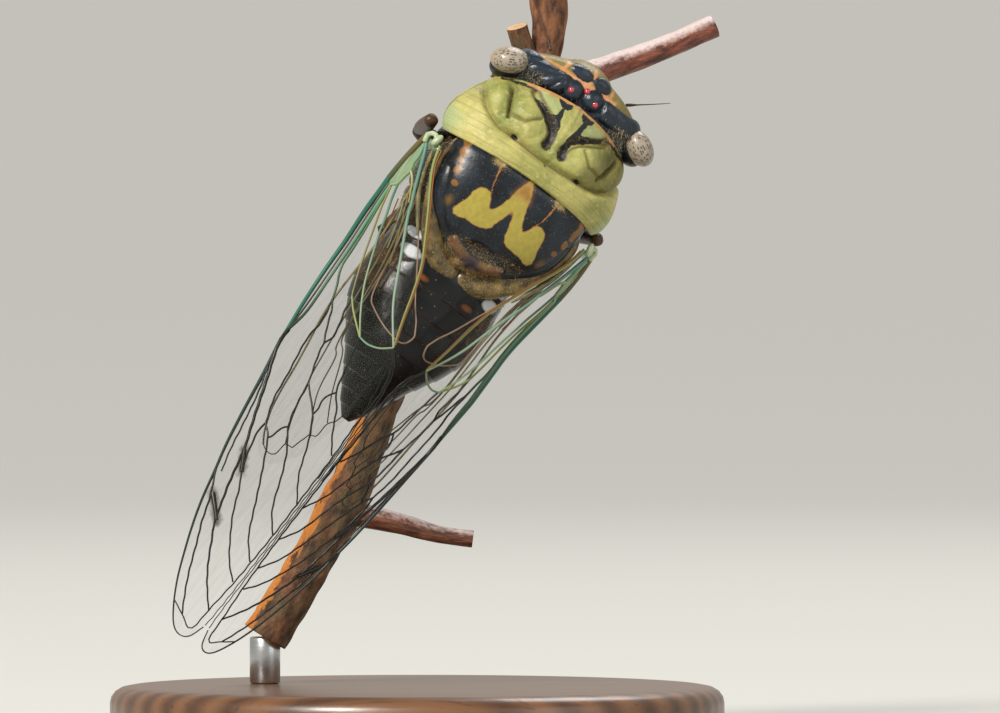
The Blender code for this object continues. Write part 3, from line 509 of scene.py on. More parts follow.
# Olive cuticle: opaque and satin, mottled where the pigment thins, with a waxy paler collar.
olive_cuticle, add, wear = finish("olive_cuticle", roughness=0.48, specular_ior_level=0.35)
where = add("TexCoord")["Object"]
broad = add("TexNoise", {"Vector": where, "Scale": 330.0, "Detail": 5.0, "Roughness": 0.6})["Fac"]
fine = add("TexNoise", {"Vector": where, "Scale": 1900.0, "Detail": 5.0, "Roughness": 0.65})["Fac"]
wide = add("MapRange", {0: broad, 1: 0.36, 2: 0.64})[0]
lobe, right_shade, band, ink, amber, low = mottled(
    add, (wide, "#727838", "#A9A45F"), (wide, "#46451F", "#77723A"), (wide, "#8E8D4C", "#B9AF6A"),
    (fine, "#050608", "#1C2026"), (fine, "#8E5A2C", "#C89A62"), (broad, "#4C5230", "#8B8A58"),
)
speck = add("MapRange", {0: fine, 1: 0.52, 2: 0.75, 3: 0.0, 4: 0.6})[0]
lobe = add("Mix", {0: speck, 6: lobe, 7: "#CDC48E"}, data_type="RGBA")[2]
band = add("Mix", {0: speck, 6: band, 7: "#CBBE82"}, data_type="RGBA")[2]
# The dark olive laid over the right of the disc is painted shade.
paint = painted(add, band, [
    ("collar", lobe, 0.5), ("right_shade", right_shade, 2.4), ("mint", "#98A372", 1.6), ("under", low, 1.2),
], 0.22)
# Folds are darkened to brown with painted shade; gold down in them shows as bright flecks.
fold = add("Attribute", attribute_name="crease")["Fac"]
fold = add("Math", {0: fold, 1: 1.1}, operation="MULTIPLY", use_clamp=True)[0]
paint = add("Mix", {0: fold, 6: paint, 7: "#40391B"}, data_type="RGBA")[2]
paint = painted(add, paint, [
    ("dark_mark", ink, 0.07), ("side_line", "#15150F", 0.1), ("edge_line", amber, 0.08),
], 0.3)
paint = flecked(add, paint, 0.75)
# The collar's ribs run across the animal, some 0.15 mm apart, each a few mm long.
rib_at = add("CombineXYZ", {
    "X": add("Attribute", attribute_name="across")["Fac"],
    "Y": add("Attribute", attribute_name="station")["Fac"],
})[0]
rib_at = add("Mapping", {"Vector": rib_at, "Scale": (0.22, 4.6, 1.0)})[0]
ribs = add("TexNoise", {"Vector": rib_at, "Scale": 1.0, "Detail": 3.0, "Roughness": 0.65})["Fac"]
mask = add("Attribute", attribute_name="ribbed")["Fac"]
# Painted shade darkens the valleys between the ribs.
rib_shade = add("MapRange", {0: ribs, 1: 0.5, 2: 0.34, 3: 0.0, 4: 0.55})[0]
rib_shade = add("Math", {0: rib_shade, 1: mask}, operation="MULTIPLY")[0]
paint = add("Mix", {0: rib_shade, 6: paint, 7: "#77763C"}, data_type="RGBA")[2]
wear(base_color=paint)
ribs = add("Math", {0: ribs, 1: mask}, operation="MULTIPLY")[0]
rise = add("Bump", {"Height": ribs, "Strength": 0.5, "Distance": 0.00022})["Normal"]
rise = add("Bump", {"Height": fine, "Strength": 0.6, "Distance": 0.00015, "Normal": rise})["Normal"]
wear(normal=rise)

station = pt - 0.012 * px**2
pronotum = shell("pronotum_shell", pro_grid, {
    "collar": -collar, "mint": mint, "under": under, "edge_line": edge_line, "dark_mark": dark_mark,
    "side_line": side_line, "station": station, "ribbed": step(field - 0.4, 0.4) * top, "hairy": gold,
    "crease": crease, "right_shade": right_shade_zone,
}, olive_cuticle)
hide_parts("pronotum")
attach(pronotum, "root")


# ---- Mesonotum
# The domed plate that holds the flight muscles: blue-black and polished, with an olive-yellow W,
# thin amber lines, amber side stripes, and a raised tan cross at its rear edge.
MESONOTUM_KEYS = [
    (10.2, 6.3, 3.4, 2.5, 2.2, 2.4, 2.2), (11.05, 6.7, 3.5, 3.1, 2.4, 2.4, 2.2),
    (12.5, 6.75, 3.5, 3.5, 2.4, 2.4, 2.2), (14.5, 6.6, 3.5, 3.7, 2.4, 2.4, 2.2),
    (16.5, 6.0, 3.5, 3.4, 2.4, 2.3, 2.2), (18.0, 4.9, 3.4, 2.85, 2.4, 2.2, 2.2),
    (19.4, 3.3, 3.2, 2.1, 2.2, 2.2, 2.2), (20.3, 1.6, 3.0, 1.5, 2.0, 2.1, 2.1),
    (20.6, 0.5, 3.0, 0.8, 1.2, 2.0, 2.0),
]
mes_grid = rings(eased(MESONOTUM_KEYS, 130, own=True), 380)
mx, mt, mz = mes_grid[..., 0], mes_grid[..., 1], mes_grid[..., 2]
ax = np.abs(mx)
top = step(3.6 - mz, 0.8)
ARC = [(2.35, 18.75), (1.5, 19.15), (0.75, 19.4), (0.0, 19.5)]
# The raised cross, its arms to the rear, and a fold from each side.
arc_far = to_line(ax, mt, ARC)
arm_far = to_line(ax, mt, [(0.0, 19.4), (0.9, 20.2), (1.3, 20.8)])
side_fold = to_line(ax, mt, [(6.2, 14.0), (5.4, 16.4), (4.0, 18.0), (2.4, 18.9)])
height = 0.34 * np.sqrt(np.clip(1 - (arc_far / 0.42) ** 2, 0, 1))
height = np.maximum(height, 0.4 * np.sqrt(np.clip(1 - (arm_far / 0.4) ** 2, 0, 1)))
height -= 0.16 * dip(side_fold, 0.22)
height -= 0.28 * hump(ax, mt, 0.0, 18.4, 1.7, 0.8, 1.0)
mes_grid = swollen(mes_grid, height * top)
W_MARK = [
    (0.0, 10.9), (0.25, 11.3), (0.6, 12.1), (0.85, 13.3), (1.25, 14.5), (1.65, 15.0), (1.9, 14.85),
    (2.15, 14.25), (2.45, 13.8), (2.9, 13.75), (3.4, 13.95), (3.65, 14.5), (3.7, 15.3), (3.95, 16.0),
    (4.1, 16.65), (3.85, 16.95), (3.4, 16.95), (2.9, 16.75), (2.2, 16.75), (1.5, 16.65), (1.0, 16.45),
    (0.72, 16.1), (0.62, 15.6), (0.42, 15.0), (0.15, 14.2), (0.0, 13.75), (-0.2, 13.5), (-0.2, 10.9),
]
EDGE_Z = 3.6  # the shield's side edge, below which it carries no marks
# The marks in plan; none of them runs down the sides.
w_mark = only(mz > EDGE_Z, to_shape(ax, mt, W_MARK))
lines = to_line(ax, mt, [(2.95, 11.3), (2.8, 12.3), (2.6, 13.3), (2.2, 14.1), (1.85, 14.95)]) - 0.05
lines = only(mz > EDGE_Z, lines - 0.03 * np.clip(13 - mt, 0, 2))
stripe = to_line(ax, mt, [(6.1, 11.3), (5.98, 12.2), (5.86, 12.95)]) - 0.27 + 0.07 * np.sin(mt * 7 + mx)
stripe = np.minimum(stripe, (oval(ax, mt, 5.62, 13.8, 0.3, 0.42) - 1) * 0.35)
stripe = np.minimum(stripe, (oval(ax, mt, 5.24, 14.86, 0.29, 0.25) - 1) * 0.3)
stripe = only(mz > 3.4, stripe)
smudge = only(mz > 3.4, (oval(ax, mt, 4.8, 16.3, 0.3, 0.45) - 1) * 0.3)
cross = only(mz > 3.0, arc_far - 0.4)
arms = only(mz > 3.0, np.minimum(arm_far - 0.5, (oval(mx, mt, 0, 20.1, 1.4, 0.7) - 1) * 0.6))
plum = only(mz > 3.0, (oval(mx, mt, 0, 19.4, 0.8, 0.5) - 1) * 0.6)
margin = np.clip(mz - EDGE_Z, -0.3, 1)
level_t = mt - 0.012 * ax**2  # the collar's edge above it is bowed
tuft = np.exp(-((ax - 3.1) / 0.55) ** 2 - ((level_t - 11.25) / 0.3) ** 2)
gold = 0.9 * step(mz - 3.8, 0.3) + 0.5 * hump(mx, mt, -0.3, 18.55, 2.7, 0.85, 0.7)
gold = gold + 0.35 * hump(mx, mt, 2.6, 17.9, 1.9, 0.7, 0.7) + 0.8 * step(19.0 - mt, 1.0)
gold = gold * (mz > 3.0) * (w_mark > 0.08) * (arc_far > 0.3) * (plum > 0) + 3.0 * tuft + 0.01
fluff = only(mz > 3.4, oval(ax, level_t, 3.1, 11.15, 1.6, 1) - 0.3)
w_tip = only(mz > EDGE_Z, np.maximum(w_mark + 0.1, mt - 12.6))

# The shield's chitin was blown smooth as it hardened at the moult: nearly black glass, whose yellow
# and brown patches are pigment under the same gloss.
shield_cuticle, add, wear = finish("mesonotum_cuticle", roughness=0.33, specular_ior_level=0.32)
where = add("TexCoord")["Object"]
cloud = add("TexNoise", {"Vector": where, "Scale": 380.0, "Detail": 5.0})["Fac"]
fine = add("TexNoise", {"Vector": where, "Scale": 2300.0, "Detail": 5.0})["Fac"]
cloud = add("MapRange", {0: cloud, 1: 0.38, 2: 0.62})[0]
# Lighter blue-grey patches in the black are a painted sheen.
ground = add("Mix", {0: cloud, 6: "#07090C", 7: "#19212A"}, data_type="RGBA")[2]
# A thin bloom of wax greys the black in specks about a tenth of a millimetre across; the specks also serve as
# painted glints.
wax_and_glint_specks = add("TexNoise", {"Vector": where, "Scale": 5200.0, "Detail": 4.0, "Roughness": 0.7})["Fac"]
wax_and_glint_specks = add("MapRange", {0: wax_and_glint_specks, 1: 0.56, 2: 0.7, 3: 0.0, 4: 0.5})[0]
ground = add("Mix", {0: wax_and_glint_specks, 6: ground, 7: "#44525A"}, data_type="RGBA")[2]
mustard, amber, tan, halo, rust = mottled(
    add, (fine, "#84782F", "#AC9C48"), (fine, "#543408", "#885C1A"), (fine, "#3A2616", "#7C5C3E"),
    (fine, "#6E4420", "#A8703C"), (fine, "#2E1E0C", "#6E5228"),
)
paint = painted(add, ground, [
    ("margin", tan, 0.4), ("smudge", rust, 0.5), ("stripe", amber, 0.16), ("lines", halo, 0.06),
    ("w_halo", halo, 0.1), ("w_mark", mustard, 0.1), ("w_tip", halo, 1.2), ("arms", rust, 0.4),
    ("cross", tan, 0.25), ("plum", "#231E26", 1.0), ("fluff", "#BBA478", 0.25),
], 0.2)
paint = flecked(add, paint, 0.6)
wear(base_color=paint)
rise = add("Bump", {"Height": fine, "Strength": 0.25, "Distance": 0.0001})["Normal"]
wear(normal=rise)
mesonotum = shell("mesonotum_shell", mes_grid, {
    "w_mark": w_mark, "w_halo": w_mark - 0.06, "lines": lines, "stripe": stripe, "cross": cross,
    "smudge": smudge, "arms": arms, "plum": plum, "margin": margin, "hairy": gold,
    "fluff": fluff, "w_tip": w_tip,
}, shield_cuticle)
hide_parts("mesonotum")
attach(mesonotum, "root")


# ---- Thorax sides
# The boxy mid body under the wings, black cuticle dusted with silver hair and white wax, which
# carries the legs and fills up to the plates above.
THORAX_KEYS = [
    (9.8, 6.7, -1.0, 3.2, 4.9, 2.4, 2.4), (11.05, 6.95, -1.0, 3.4, 5.0, 2.4, 2.4),
    (12.5, 7.05, -1.0, 3.6, 5.1, 2.4, 2.4), (14.5, 7.0, -1.0, 3.7, 5.15, 2.4, 2.4),
    (17.0, 6.6, -1.0, 3.6, 5.05, 2.4, 2.4), (19.8, 5.8, -1.0, 3.4, 4.7, 2.3, 2.3),
]
tho_grid = rings(eased(THORAX_KEYS, 80, own=True), 260)
tt, tz = tho_grid[..., 1], tho_grid[..., 2]
plates = to_line(tt, tz, [(13.4, -6.0), (13.8, -2.5), (13.2, 1.5)])
plates = np.minimum(plates, to_line(tt, tz, [(16.8, -6.0), (17.2, -2.5), (16.4, 1.5)]))
height = 0.2 * hump(tt, tz, 12.1, -2.4, 1.3, 2.6, 1.0) + 0.2 * hump(tt, tz, 15.3, -2.4, 1.5, 2.6, 1.0)
height -= 0.25 * dip(plates, 0.2)
tho_grid = swollen(tho_grid, height)
wax = np.clip(0.9 * hump(tt, tz, 15.5, -5.0, 5.0, 2.6, 0.6), 0, 1)

# Wax bloom is a dull bluish white powder that the cuticle sweats out.
waxed_cuticle, add, wear = finish("waxed_cuticle", specular_ior_level=0.3)
where = add("TexCoord")["Object"]
cloud = add("TexNoise", {"Vector": where, "Scale": 700.0, "Detail": 6.0, "Roughness": 0.65})["Fac"]
read = add("Attribute", attribute_name="wax")["Fac"]
share = add("Math", {0: cloud, 1: read}, operation="ADD")[0]
share = add("MapRange", {0: share, 1: 0.85, 2: 1.25, 3: 0.0, 4: 0.92})[0]
ground = add("Mix", {0: cloud, 6: "#040506", 7: "#15161A"}, data_type="RGBA")[2]
brass = add("Attribute", attribute_name="bronze")["Fac"]
ground = add("Mix", {0: brass, 6: ground, 7: "#74401A"}, data_type="RGBA")[2]
ground = flecked(add, ground, 0.5)
paint = add("Mix", {0: share, 6: ground, 7: "#D9DDE0"}, data_type="RGBA")[2]
wear(base_color=paint)
dull = add("MapRange", {0: share, 1: 0.0, 2: 1.0, 3: 0.26, 4: 0.85})[0]
wear(roughness=dull)
fine = add("TexNoise", {"Vector": where, "Scale": 3200.0, "Detail": 5.0})["Fac"]
rise = add("Bump", {"Height": fine, "Strength": 0.12, "Distance": 0.00008})["Normal"]
wear(normal=rise)

thorax = shell("thorax_shell", tho_grid, {
    "wax": wax - 0.15, "bronze": 0.5 * step(1.5 - tz, 1.5), "hairy": 0.35 + 0.5 * step(1.0 - tz, 1.5),
}, waxed_cuticle)
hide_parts("thorax")
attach(thorax, "root")


# ---- Abdomen
# Ten overlapping rings of polished black, each lipped over the next, with drum covers at the
# sides of the first, white wax spots, two amber spots and gold down along the flanks.
ABDOMEN_KEYS = [
    (18.6, 5.1, -0.7, 3.6, 3.9, 2.1, 2.1), (19.7, 5.6, -0.6, 4.3, 4.3, 2.1, 2.1),
    (21.5, 5.9, -0.6, 5.0, 4.6, 2.0, 2.0), (24.0, 6.1, -0.6, 5.1, 4.7, 2.0, 2.0),
    (25.5, 6.05, -0.6, 5.1, 4.7, 2.0, 2.0), (27.0, 5.65, -0.6, 4.9, 4.5, 2.0, 2.0),
    (28.7, 4.85, -0.6, 4.4, 4.1, 2.0, 2.0), (30.2, 3.95, -0.6, 3.8, 3.6, 2.0, 2.0),
    (31.8, 3.0, -0.7, 3.0, 2.9, 2.0, 2.0), (33.6, 2.05, -0.8, 2.1, 2.0, 2.0, 2.0),
    (35.0, 1.3, -0.8, 1.35, 1.3, 2.0, 2.0), (36.3, 0.4, -0.8, 0.4, 0.4, 2.0, 2.0),
]
RING_ENDS = np.array((18.6, 20.6, 23.45, 25.5, 27.4, 29.2, 30.9, 32.5, 34.0, 35.3, 36.4))
abd_grid = rings(eased(ABDOMEN_KEYS, 320, own=True), 260)
bx, bt, bz = abd_grid[..., 0], abd_grid[..., 1], abd_grid[..., 2]
ax = np.abs(bx)
# Each ring swells toward its rear lip and drops to the next.
plain_t = np.clip(bt - 0.012 * bx**2, 18.6, 36.3)
ring = np.searchsorted(RING_ENDS, plain_t, side="right") - 1
ring_long = RING_ENDS[ring + 1] - RING_ENDS[ring]
u = (plain_t - RING_ENDS[ring]) / ring_long
height = 0.09 * u**1.5 * np.clip((1.0 - u) * ring_long / 0.09, 0, 1)
height *= np.clip((36.2 - plain_t) / 1.2, 0, 1)
height += 0.16 * hump(ax, bt, 4.6, 21.4, 1.2, 1.3, 1.0) * (bz > -2)
abd_grid = swollen(abd_grid, height)
abd_grid[..., 0] += 0.05 * np.clip(bt - 26.0, 0, 20)
# Wax spots at the front corners, two amber spots, and gold down on the flanks and along the seams.
wax = 1.0 * hump(ax, bt, 4.5, 20.15, 0.95, 0.55, 0.8) + 1.0 * hump(ax, bt, 4.1, 21.55, 1.05, 0.68, 0.8)
bare_seam = 0.8 * dip(bt - 20.85 - 0.25 * (ax - 4.2), 0.13)
wax = np.where(bz > 0, wax - bare_seam, 0.5 * step(bz + 3.4, 1.2))
amber = 0.9 * hump(ax, bt, 2.3, 22.8, 0.65, 0.3, 0.8) * (bz > 0)
flank = 0.8 * hump(ax, bt, 5.3, 23.6, 1.5, 3.4, 1.0) * (bz > -1) * (0.4 + 0.6 * step(0.5 - u, 0.4))
seam = np.exp(-((1.0 - u) * ring_long / 0.12) ** 2)
abdomen = shell("abdomen_shell", abd_grid, {
    "wax": wax, "bronze": np.clip(amber + 0.35 * flank + 0.1 * seam, 0, 1),
    "hairy": 0.008 + 0.8 * flank + 0.06 * seam,
}, waxed_cuticle)
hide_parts("abdomen")
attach(abdomen, "root")

# Two spoon-shaped drum covers lie flat under the front of the belly.
for side, sx in (("left", -1), ("right", 1)):
    rows = []
    for k in np.linspace(0.02, 0.985, 40):
        a = 2 * math.pi * (np.arange(64) + 0.5) / 64
        half = 2.15 * math.sqrt(max(1 - k**2.6, 0.001))
        x = sx * (2.6 + half * np.cos(a))
        z = -5.78 - 0.16 * k + (0.27 * np.sin(a) - 0.12 * np.cos(a) ** 2) * min(1, (1 - k) * 6 + 0.2)
        rows.append(np.stack((x, np.full(64, 20.3 + 5.4 * k), z), axis=1))
    grid = np.array(rows)
    even = np.ones(grid.shape[:2])
    marks = {"wax": 0.32 * even, "bronze": 0 * even, "hairy": 0.1 * even}
    cover = shell(f"operculum_{side}_shell", grid, marks, waxed_cuticle)
    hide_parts(f"operculum_{side}")
    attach(cover, "root")


# ---- Wings
# Two clear forewings folded roof-like over two shorter hindwings: a glassy membrane stretched
# between stiff tubes of vein, green and turquoise near the root and black toward the tip.
RIDGE_Z, RIDGE_X, ROOF_R = 8.9, 0.16, 19.1


def roof(t, q, drop, sx):
    """A place on the wing roof: t back along the body, q down the slope from the ridge, drop below it."""
    t, q = np.asarray(t, float), np.asarray(q, float)
    k = np.clip((t - 12.5) / 12.5, 0, 1)
    b0 = np.radians(18.0 + 10.0 * k * k * (3 - 2 * k))
    b = b0 + q / ROOF_R
    lean = b * np.minimum(1.0, q / 2.0)
    x = RIDGE_X + ROOF_R * (np.sin(b) - np.sin(b0)) - drop * np.sin(lean)
    z = RIDGE_Z - ROOF_R * (np.cos(b0) - np.cos(b)) - drop * np.cos(lean)
    x = x - 0.13 * np.clip((t - 29.0) / 4.0, 0, 1)
    return np.stack((sx * x, t, z - 0.155 * np.maximum(0.0, t - 29.0)), axis=-1)


def curve(points, gap):
    """A smooth line through the points, in pieces of about the gap."""
    pts = np.array(points, float)
    ends = np.vstack((2 * pts[0] - pts[1], pts, 2 * pts[-1] - pts[-2]))
    out = []
    for p0, p1, p2, p3 in zip(ends, ends[1:], ends[2:], ends[3:]):
        n = max(1, int(round(np.linalg.norm(p2 - p1) / gap)))
        for u in np.arange(n) / n:
            out.append(0.5 * (2 * p1 + (p2 - p0) * u + (2 * p0 - 5 * p1 + 4 * p2 - p3) * u**2
                              + (3 * p1 - p0 - 3 * p2 + p3) * u**3))
    return np.array(out + [pts[-1]])


FORE_OUTLINE = [
    (13.0, 10.7), (15.9, 11.4), (18.6, 11.95), (21.8, 12.6), (26.0, 12.75), (30.0, 12.55), (33.8, 12.1),
    (37.1, 11.15), (40.5, 10.35), (43.6, 9.55), (46.0, 8.75), (48.6, 7.95), (50.9, 7.05), (53.3, 5.95),
    (55.3, 4.95), (57.2, 3.75), (58.6, 2.55), (59.0, 1.55), (58.6, 0.7), (57.2, 0.15), (55.0, 0.08),
    (51.0, 0.05), (47.0, 0.05), (43.0, 0.05), (38.0, 0.08), (33.5, 0.2), (30.6, 0.6), (29.1, 1.75),
    (26.6, 2.6), (24.3, 3.25), (22.3, 3.95), (20.2, 5.05), (17.8, 6.5), (15.8, 7.7), (14.2, 8.5),
    (13.1, 8.95),
]
HIND_OUTLINE = [
    (15.0, 9.7), (18.5, 10.2), (22.6, 10.4), (26.3, 10.8), (30.0, 10.8), (34.8, 9.8), (39.0, 8.9),
    (41.9, 7.6), (42.9, 6.3), (42.7, 4.8), (40.5, 3.2), (37.9, 2.35), (34.0, 1.65), (30.0, 1.3),
    (28.0, 0.95), (26.8, 1.2), (25.0, 3.0), (24.0, 3.9), (21.0, 5.9), (18.0, 8.0), (15.6, 9.25),
]
# Each vein: colour key, radius at its start and end in mm, then its line in (t, q).
FORE_VEINS = [
    ("edge_root", 0.26, 0.26, [(13.0, 10.7), (14.5, 11.05), (15.8, 11.35), (17.6, 11.75)]),
    ("edge", 0.26, 0.15, [(17.6, 11.75), (18.8, 11.95), (21.8, 12.5), (26.0, 12.65), (30.0, 12.45),
        (33.8, 12.0)]),
    ("edge_dark", 0.17, 0.05, [(33.8, 12.0), (37.1, 11.05), (40.5, 10.25), (43.6, 9.45), (46.0, 8.65),
        (48.6, 7.85), (50.9, 6.95), (53.3, 5.85), (55.3, 4.85), (57.2, 3.65), (58.55, 2.5),
        (58.9, 1.55), (58.5, 0.75), (57.2, 0.25)]),
    ("stem", 0.2, 0.14, [(13.7, 10.4), (14.75, 10.2), (15.4, 10.3), (16.15, 10.15), (16.9, 10.4),
        (17.6, 10.6), (18.0, 11.2)]),
    ("radius", 0.15, 0.13, [(17.9, 11.2), (19.45, 11.35), (21.25, 11.5), (24.3, 11.6), (27.3, 11.5),
        (30.7, 11.4), (32.8, 11.95)]),
    ("root_pink", 0.09, 0.09, [(18.0, 11.5), (20.4, 11.8), (24.0, 12.05), (30.4, 11.9), (33.4, 12.1)]),
    ("cup", 0.12, 0.07, [(16.1, 10.15), (16.45, 9.65), (16.95, 9.25), (17.55, 8.95), (18.4, 8.5)]),
    ("dark", 0.17, 0.12, [(32.8, 11.95), (34.5, 11.8), (37.5, 10.2), (39.8, 9.1), (43.1, 7.5)]),
    ("dark", 0.12, 0.07, [(43.1, 7.5), (46.2, 6.6), (47.6, 6.1), (49.5, 5.4), (50.8, 4.6), (52.6, 3.5),
        (54.2, 2.3), (55.8, 0.8)]),
    ("dark", 0.09, 0.07, [(45.8, 8.7), (48.1, 7.3), (50.2, 6.4), (51.5, 5.7), (54.4, 4.3), (56.3, 3.2),
        (57.4, 2.5)]),
    ("dark", 0.09, 0.07, [(35.5, 11.6), (38.5, 10.2), (41.5, 9.3), (43.8, 8.7), (45.8, 8.0)]),
    ("green", 0.11, 0.1, [(18.0, 11.2), (24.5, 11.2), (26.2, 11.0), (27.5, 10.2), (28.6, 9.7)]),
    ("dark", 0.09, 0.08, [(28.6, 9.7), (30.6, 9.2), (32.7, 9.4), (36.0, 8.7), (38.2, 8.3),
        (40.3, 7.4)]),
    ("dark", 0.09, 0.07, [(40.3, 7.4), (41.3, 7.5), (43.4, 6.9), (44.8, 6.3), (46.0, 5.5), (48.0, 4.5),
        (49.8, 3.3), (51.5, 2.0), (52.7, 0.6)]),
    ("dark", 0.09, 0.07, [(40.3, 7.4), (41.2, 6.3), (43.1, 5.1), (44.5, 4.3), (46.4, 3.3), (48.0, 2.5),
        (49.0, 1.9), (50.5, 0.5)]),
    ("dark", 0.08, 0.08, [(41.2, 6.3), (40.8, 6.0), (39.9, 5.8), (39.5, 5.4)]),
    ("dark", 0.09, 0.08, [(28.6, 9.7), (29.5, 9.0), (30.9, 8.3), (32.1, 7.6), (33.0, 7.4),
        (35.5, 6.4)]),
    ("dark", 0.09, 0.07, [(35.5, 6.4), (37.9, 5.9), (39.5, 5.3), (41.2, 4.0), (43.1, 3.0), (44.6, 2.4),
        (46.0, 1.7), (47.6, 0.3)]),
    ("dark", 0.09, 0.07, [(35.5, 6.4), (36.5, 5.2), (37.4, 4.2), (38.8, 3.3), (40.3, 2.6), (42.2, 1.8),
        (44.3, 0.3)]),
    ("dark", 0.08, 0.08, [(37.4, 4.2), (36.7, 4.1), (35.9, 4.3), (35.4, 4.1), (34.8, 3.7)]),
    ("dark", 0.09, 0.07, [(29.9, 5.0), (31.9, 4.5), (33.3, 4.2), (34.8, 3.7), (35.8, 2.8), (37.7, 1.7),
        (39.3, 0.5)]),
    ("straw", 0.09, 0.09, [(18.1, 11.1), (19.7, 10.9), (21.0, 10.6), (24.0, 9.7), (26.1, 8.8),
        (27.5, 8.1)]),
    ("dark", 0.09, 0.08, [(27.5, 8.1), (28.9, 7.8), (29.8, 7.5), (31.1, 7.2), (32.1, 7.6)]),
    ("lime", 0.09, 0.09, [(27.5, 8.1), (28.4, 7.1), (29.9, 5.0)]),
    ("mint", 0.11, 0.08, [(17.6, 10.55), (18.95, 10.3), (20.5, 9.85), (22.3, 9.4), (25.6, 8.0),
        (28.0, 6.5), (29.9, 5.0)]),
    ("mint", 0.09, 0.08, [(29.9, 5.0), (30.0, 4.0), (29.7, 2.9), (29.0, 1.9)]),
    ("turquoise", 0.18, 0.08, [(13.1, 10.5), (13.7, 10.15), (14.3, 9.85), (15.05, 9.55), (15.95, 9.2),
        (16.85, 8.85), (17.6, 8.55), (18.4, 8.2), (19.7, 7.7), (23.3, 5.8), (26.1, 4.2), (29.0, 1.9)]),
    ("lime", 0.14, 0.07, [(13.05, 8.95), (13.8, 8.75), (14.45, 8.55), (15.2, 8.2), (16.15, 7.65),
        (17.8, 6.6), (20.5, 5.0), (22.3, 4.05), (24.7, 3.25), (26.6, 2.7), (29.0, 1.9)]),
    ("amber", 0.07, 0.05, [(13.3, 8.6), (14.45, 8.32), (15.2, 7.95), (16.15, 7.4), (17.8, 6.37),
        (20.5, 4.8), (22.3, 3.88), (24.7, 3.08), (26.6, 2.55), (28.7, 1.85)]),
    ("dark", 0.08, 0.06, [(29.0, 1.9), (30.6, 0.9), (32.8, 0.42), (36.0, 0.5), (39.3, 0.35),
        (44.3, 0.3), (47.6, 0.3), (50.5, 0.4), (52.7, 0.5), (55.8, 0.8), (57.4, 0.9), (58.0, 1.3),
        (57.4, 2.5), (56.8, 3.9)]),
    ("dark", 0.05, 0.04, [(29.3, 1.6), (30.7, 0.6), (32.8, 0.22), (36.0, 0.1), (43.0, 0.07),
        (51.0, 0.07), (55.0, 0.1), (57.0, 0.2)]),
    ("dark", 0.045, 0.04, [(30.2, 1.3), (33.6, 0.75), (37.0, 0.28), (41.5, 0.2)]),
    ("stain", 0.2, 0.2, [(43.15, 7.45), (44.0, 6.85), (44.8, 6.3)]),
    ("stain", 0.24, 0.17, [(47.7, 7.3), (48.4, 6.4), (49.3, 5.35)]),
]
HIND_VEINS = [
    ("cream", 0.11, 0.08, [(15.7, 9.7), (22.6, 10.2), (26.3, 10.6), (30.0, 10.6), (34.8, 9.6),
        (37.1, 9.2), (39.1, 8.7), (40.9, 7.8), (41.9, 7.0)]),
    ("dark", 0.05, 0.05, [(41.9, 7.0), (42.2, 6.2), (42.0, 5.4), (40.7, 5.1), (40.7, 4.4), (39.0, 3.8),
        (38.8, 3.2), (37.3, 3.0), (36.4, 2.4), (33.0, 2.2), (30.0, 2.0)]),
    ("cream_dark", 0.09, 0.05, [(16.2, 9.6), (24.0, 9.0), (32.8, 7.8), (36.0, 7.1), (38.8, 6.2),
        (40.9, 5.1)]),
    ("cream_dark", 0.09, 0.05, [(16.4, 9.4), (24.0, 8.2), (31.0, 7.3), (32.5, 6.5), (35.8, 5.7),
        (39.1, 3.7)]),
    ("cream_dark", 0.09, 0.05, [(16.6, 9.3), (23.0, 7.9), (30.2, 7.3), (31.9, 6.1), (35.1, 4.5),
        (37.3, 3.1)]),
    ("straw", 0.07, 0.06, [(17.1, 10.1), (18.65, 9.5), (20.5, 8.7), (23.5, 7.6)]),
    ("orange", 0.06, 0.05, [(18.6, 10.6), (20.3, 10.3), (22.5, 9.8)]),
    ("whitish", 0.07, 0.06, [(18.2, 10.05), (19.85, 9.45), (22.5, 8.8)]),
    ("pink", 0.075, 0.055, [(16.8, 9.0), (21.0, 8.2), (24.4, 7.7), (26.6, 7.1), (27.3, 6.1),
        (28.0, 4.2), (28.3, 2.7), (28.3, 2.0), (28.0, 1.3), (27.3, 0.95), (26.8, 1.3), (24.9, 3.1),
        (21.5, 5.6), (17.5, 8.5)]),
]
# The opaque green cell at the forewing's root, and the two smoky stains along its cross veins.
BASAL_CELL = [
    (12.8, 10.4), (14.2, 10.0), (15.3, 10.2), (16.2, 10.1), (17.6, 10.6), (18.1, 11.6),
    (17.0, 12.0), (12.8, 11.2),
]
SMOKY = [(43.1, 7.5), (44.8, 6.3)], [(47.6, 7.4), (49.4, 5.2)]
TINTS = {
    # vein colours at the start and the end of each
    "edge_root": ("#5E4E28", "#424C32"), "edge": ("#265A4A", "#245E4E"), "edge_dark": ("#1A302A", "#100F09"),
    "stem": ("#6E8A6C", "#80986A"), "radius": ("#5E8E74", "#222E20"), "root_pink": ("#6A5E54", "#26231C"),
    "cup": ("#8E9C68", "#94763E"), "dark": ("#0E0F0A", "#0A0905"), "green": ("#4E7A4C", "#1E361A"),
    "straw": ("#867E42", "#585A2C"), "lime": ("#76854C", "#7E7C3E"), "mint": ("#4C7560", "#7A8A66"),
    "turquoise": ("#4C786C", "#84947E"), "amber": ("#884C18", "#663E18"), "stain": ("#110B05", "#1A1008"),
    "cream": ("#8E825A", "#302814"), "cream_dark": ("#746848", "#18140A"), "pink": ("#765846", "#8C6E58"),
    "orange": ("#8C5024", "#724828"), "whitish": ("#8C9274", "#727658"),
}

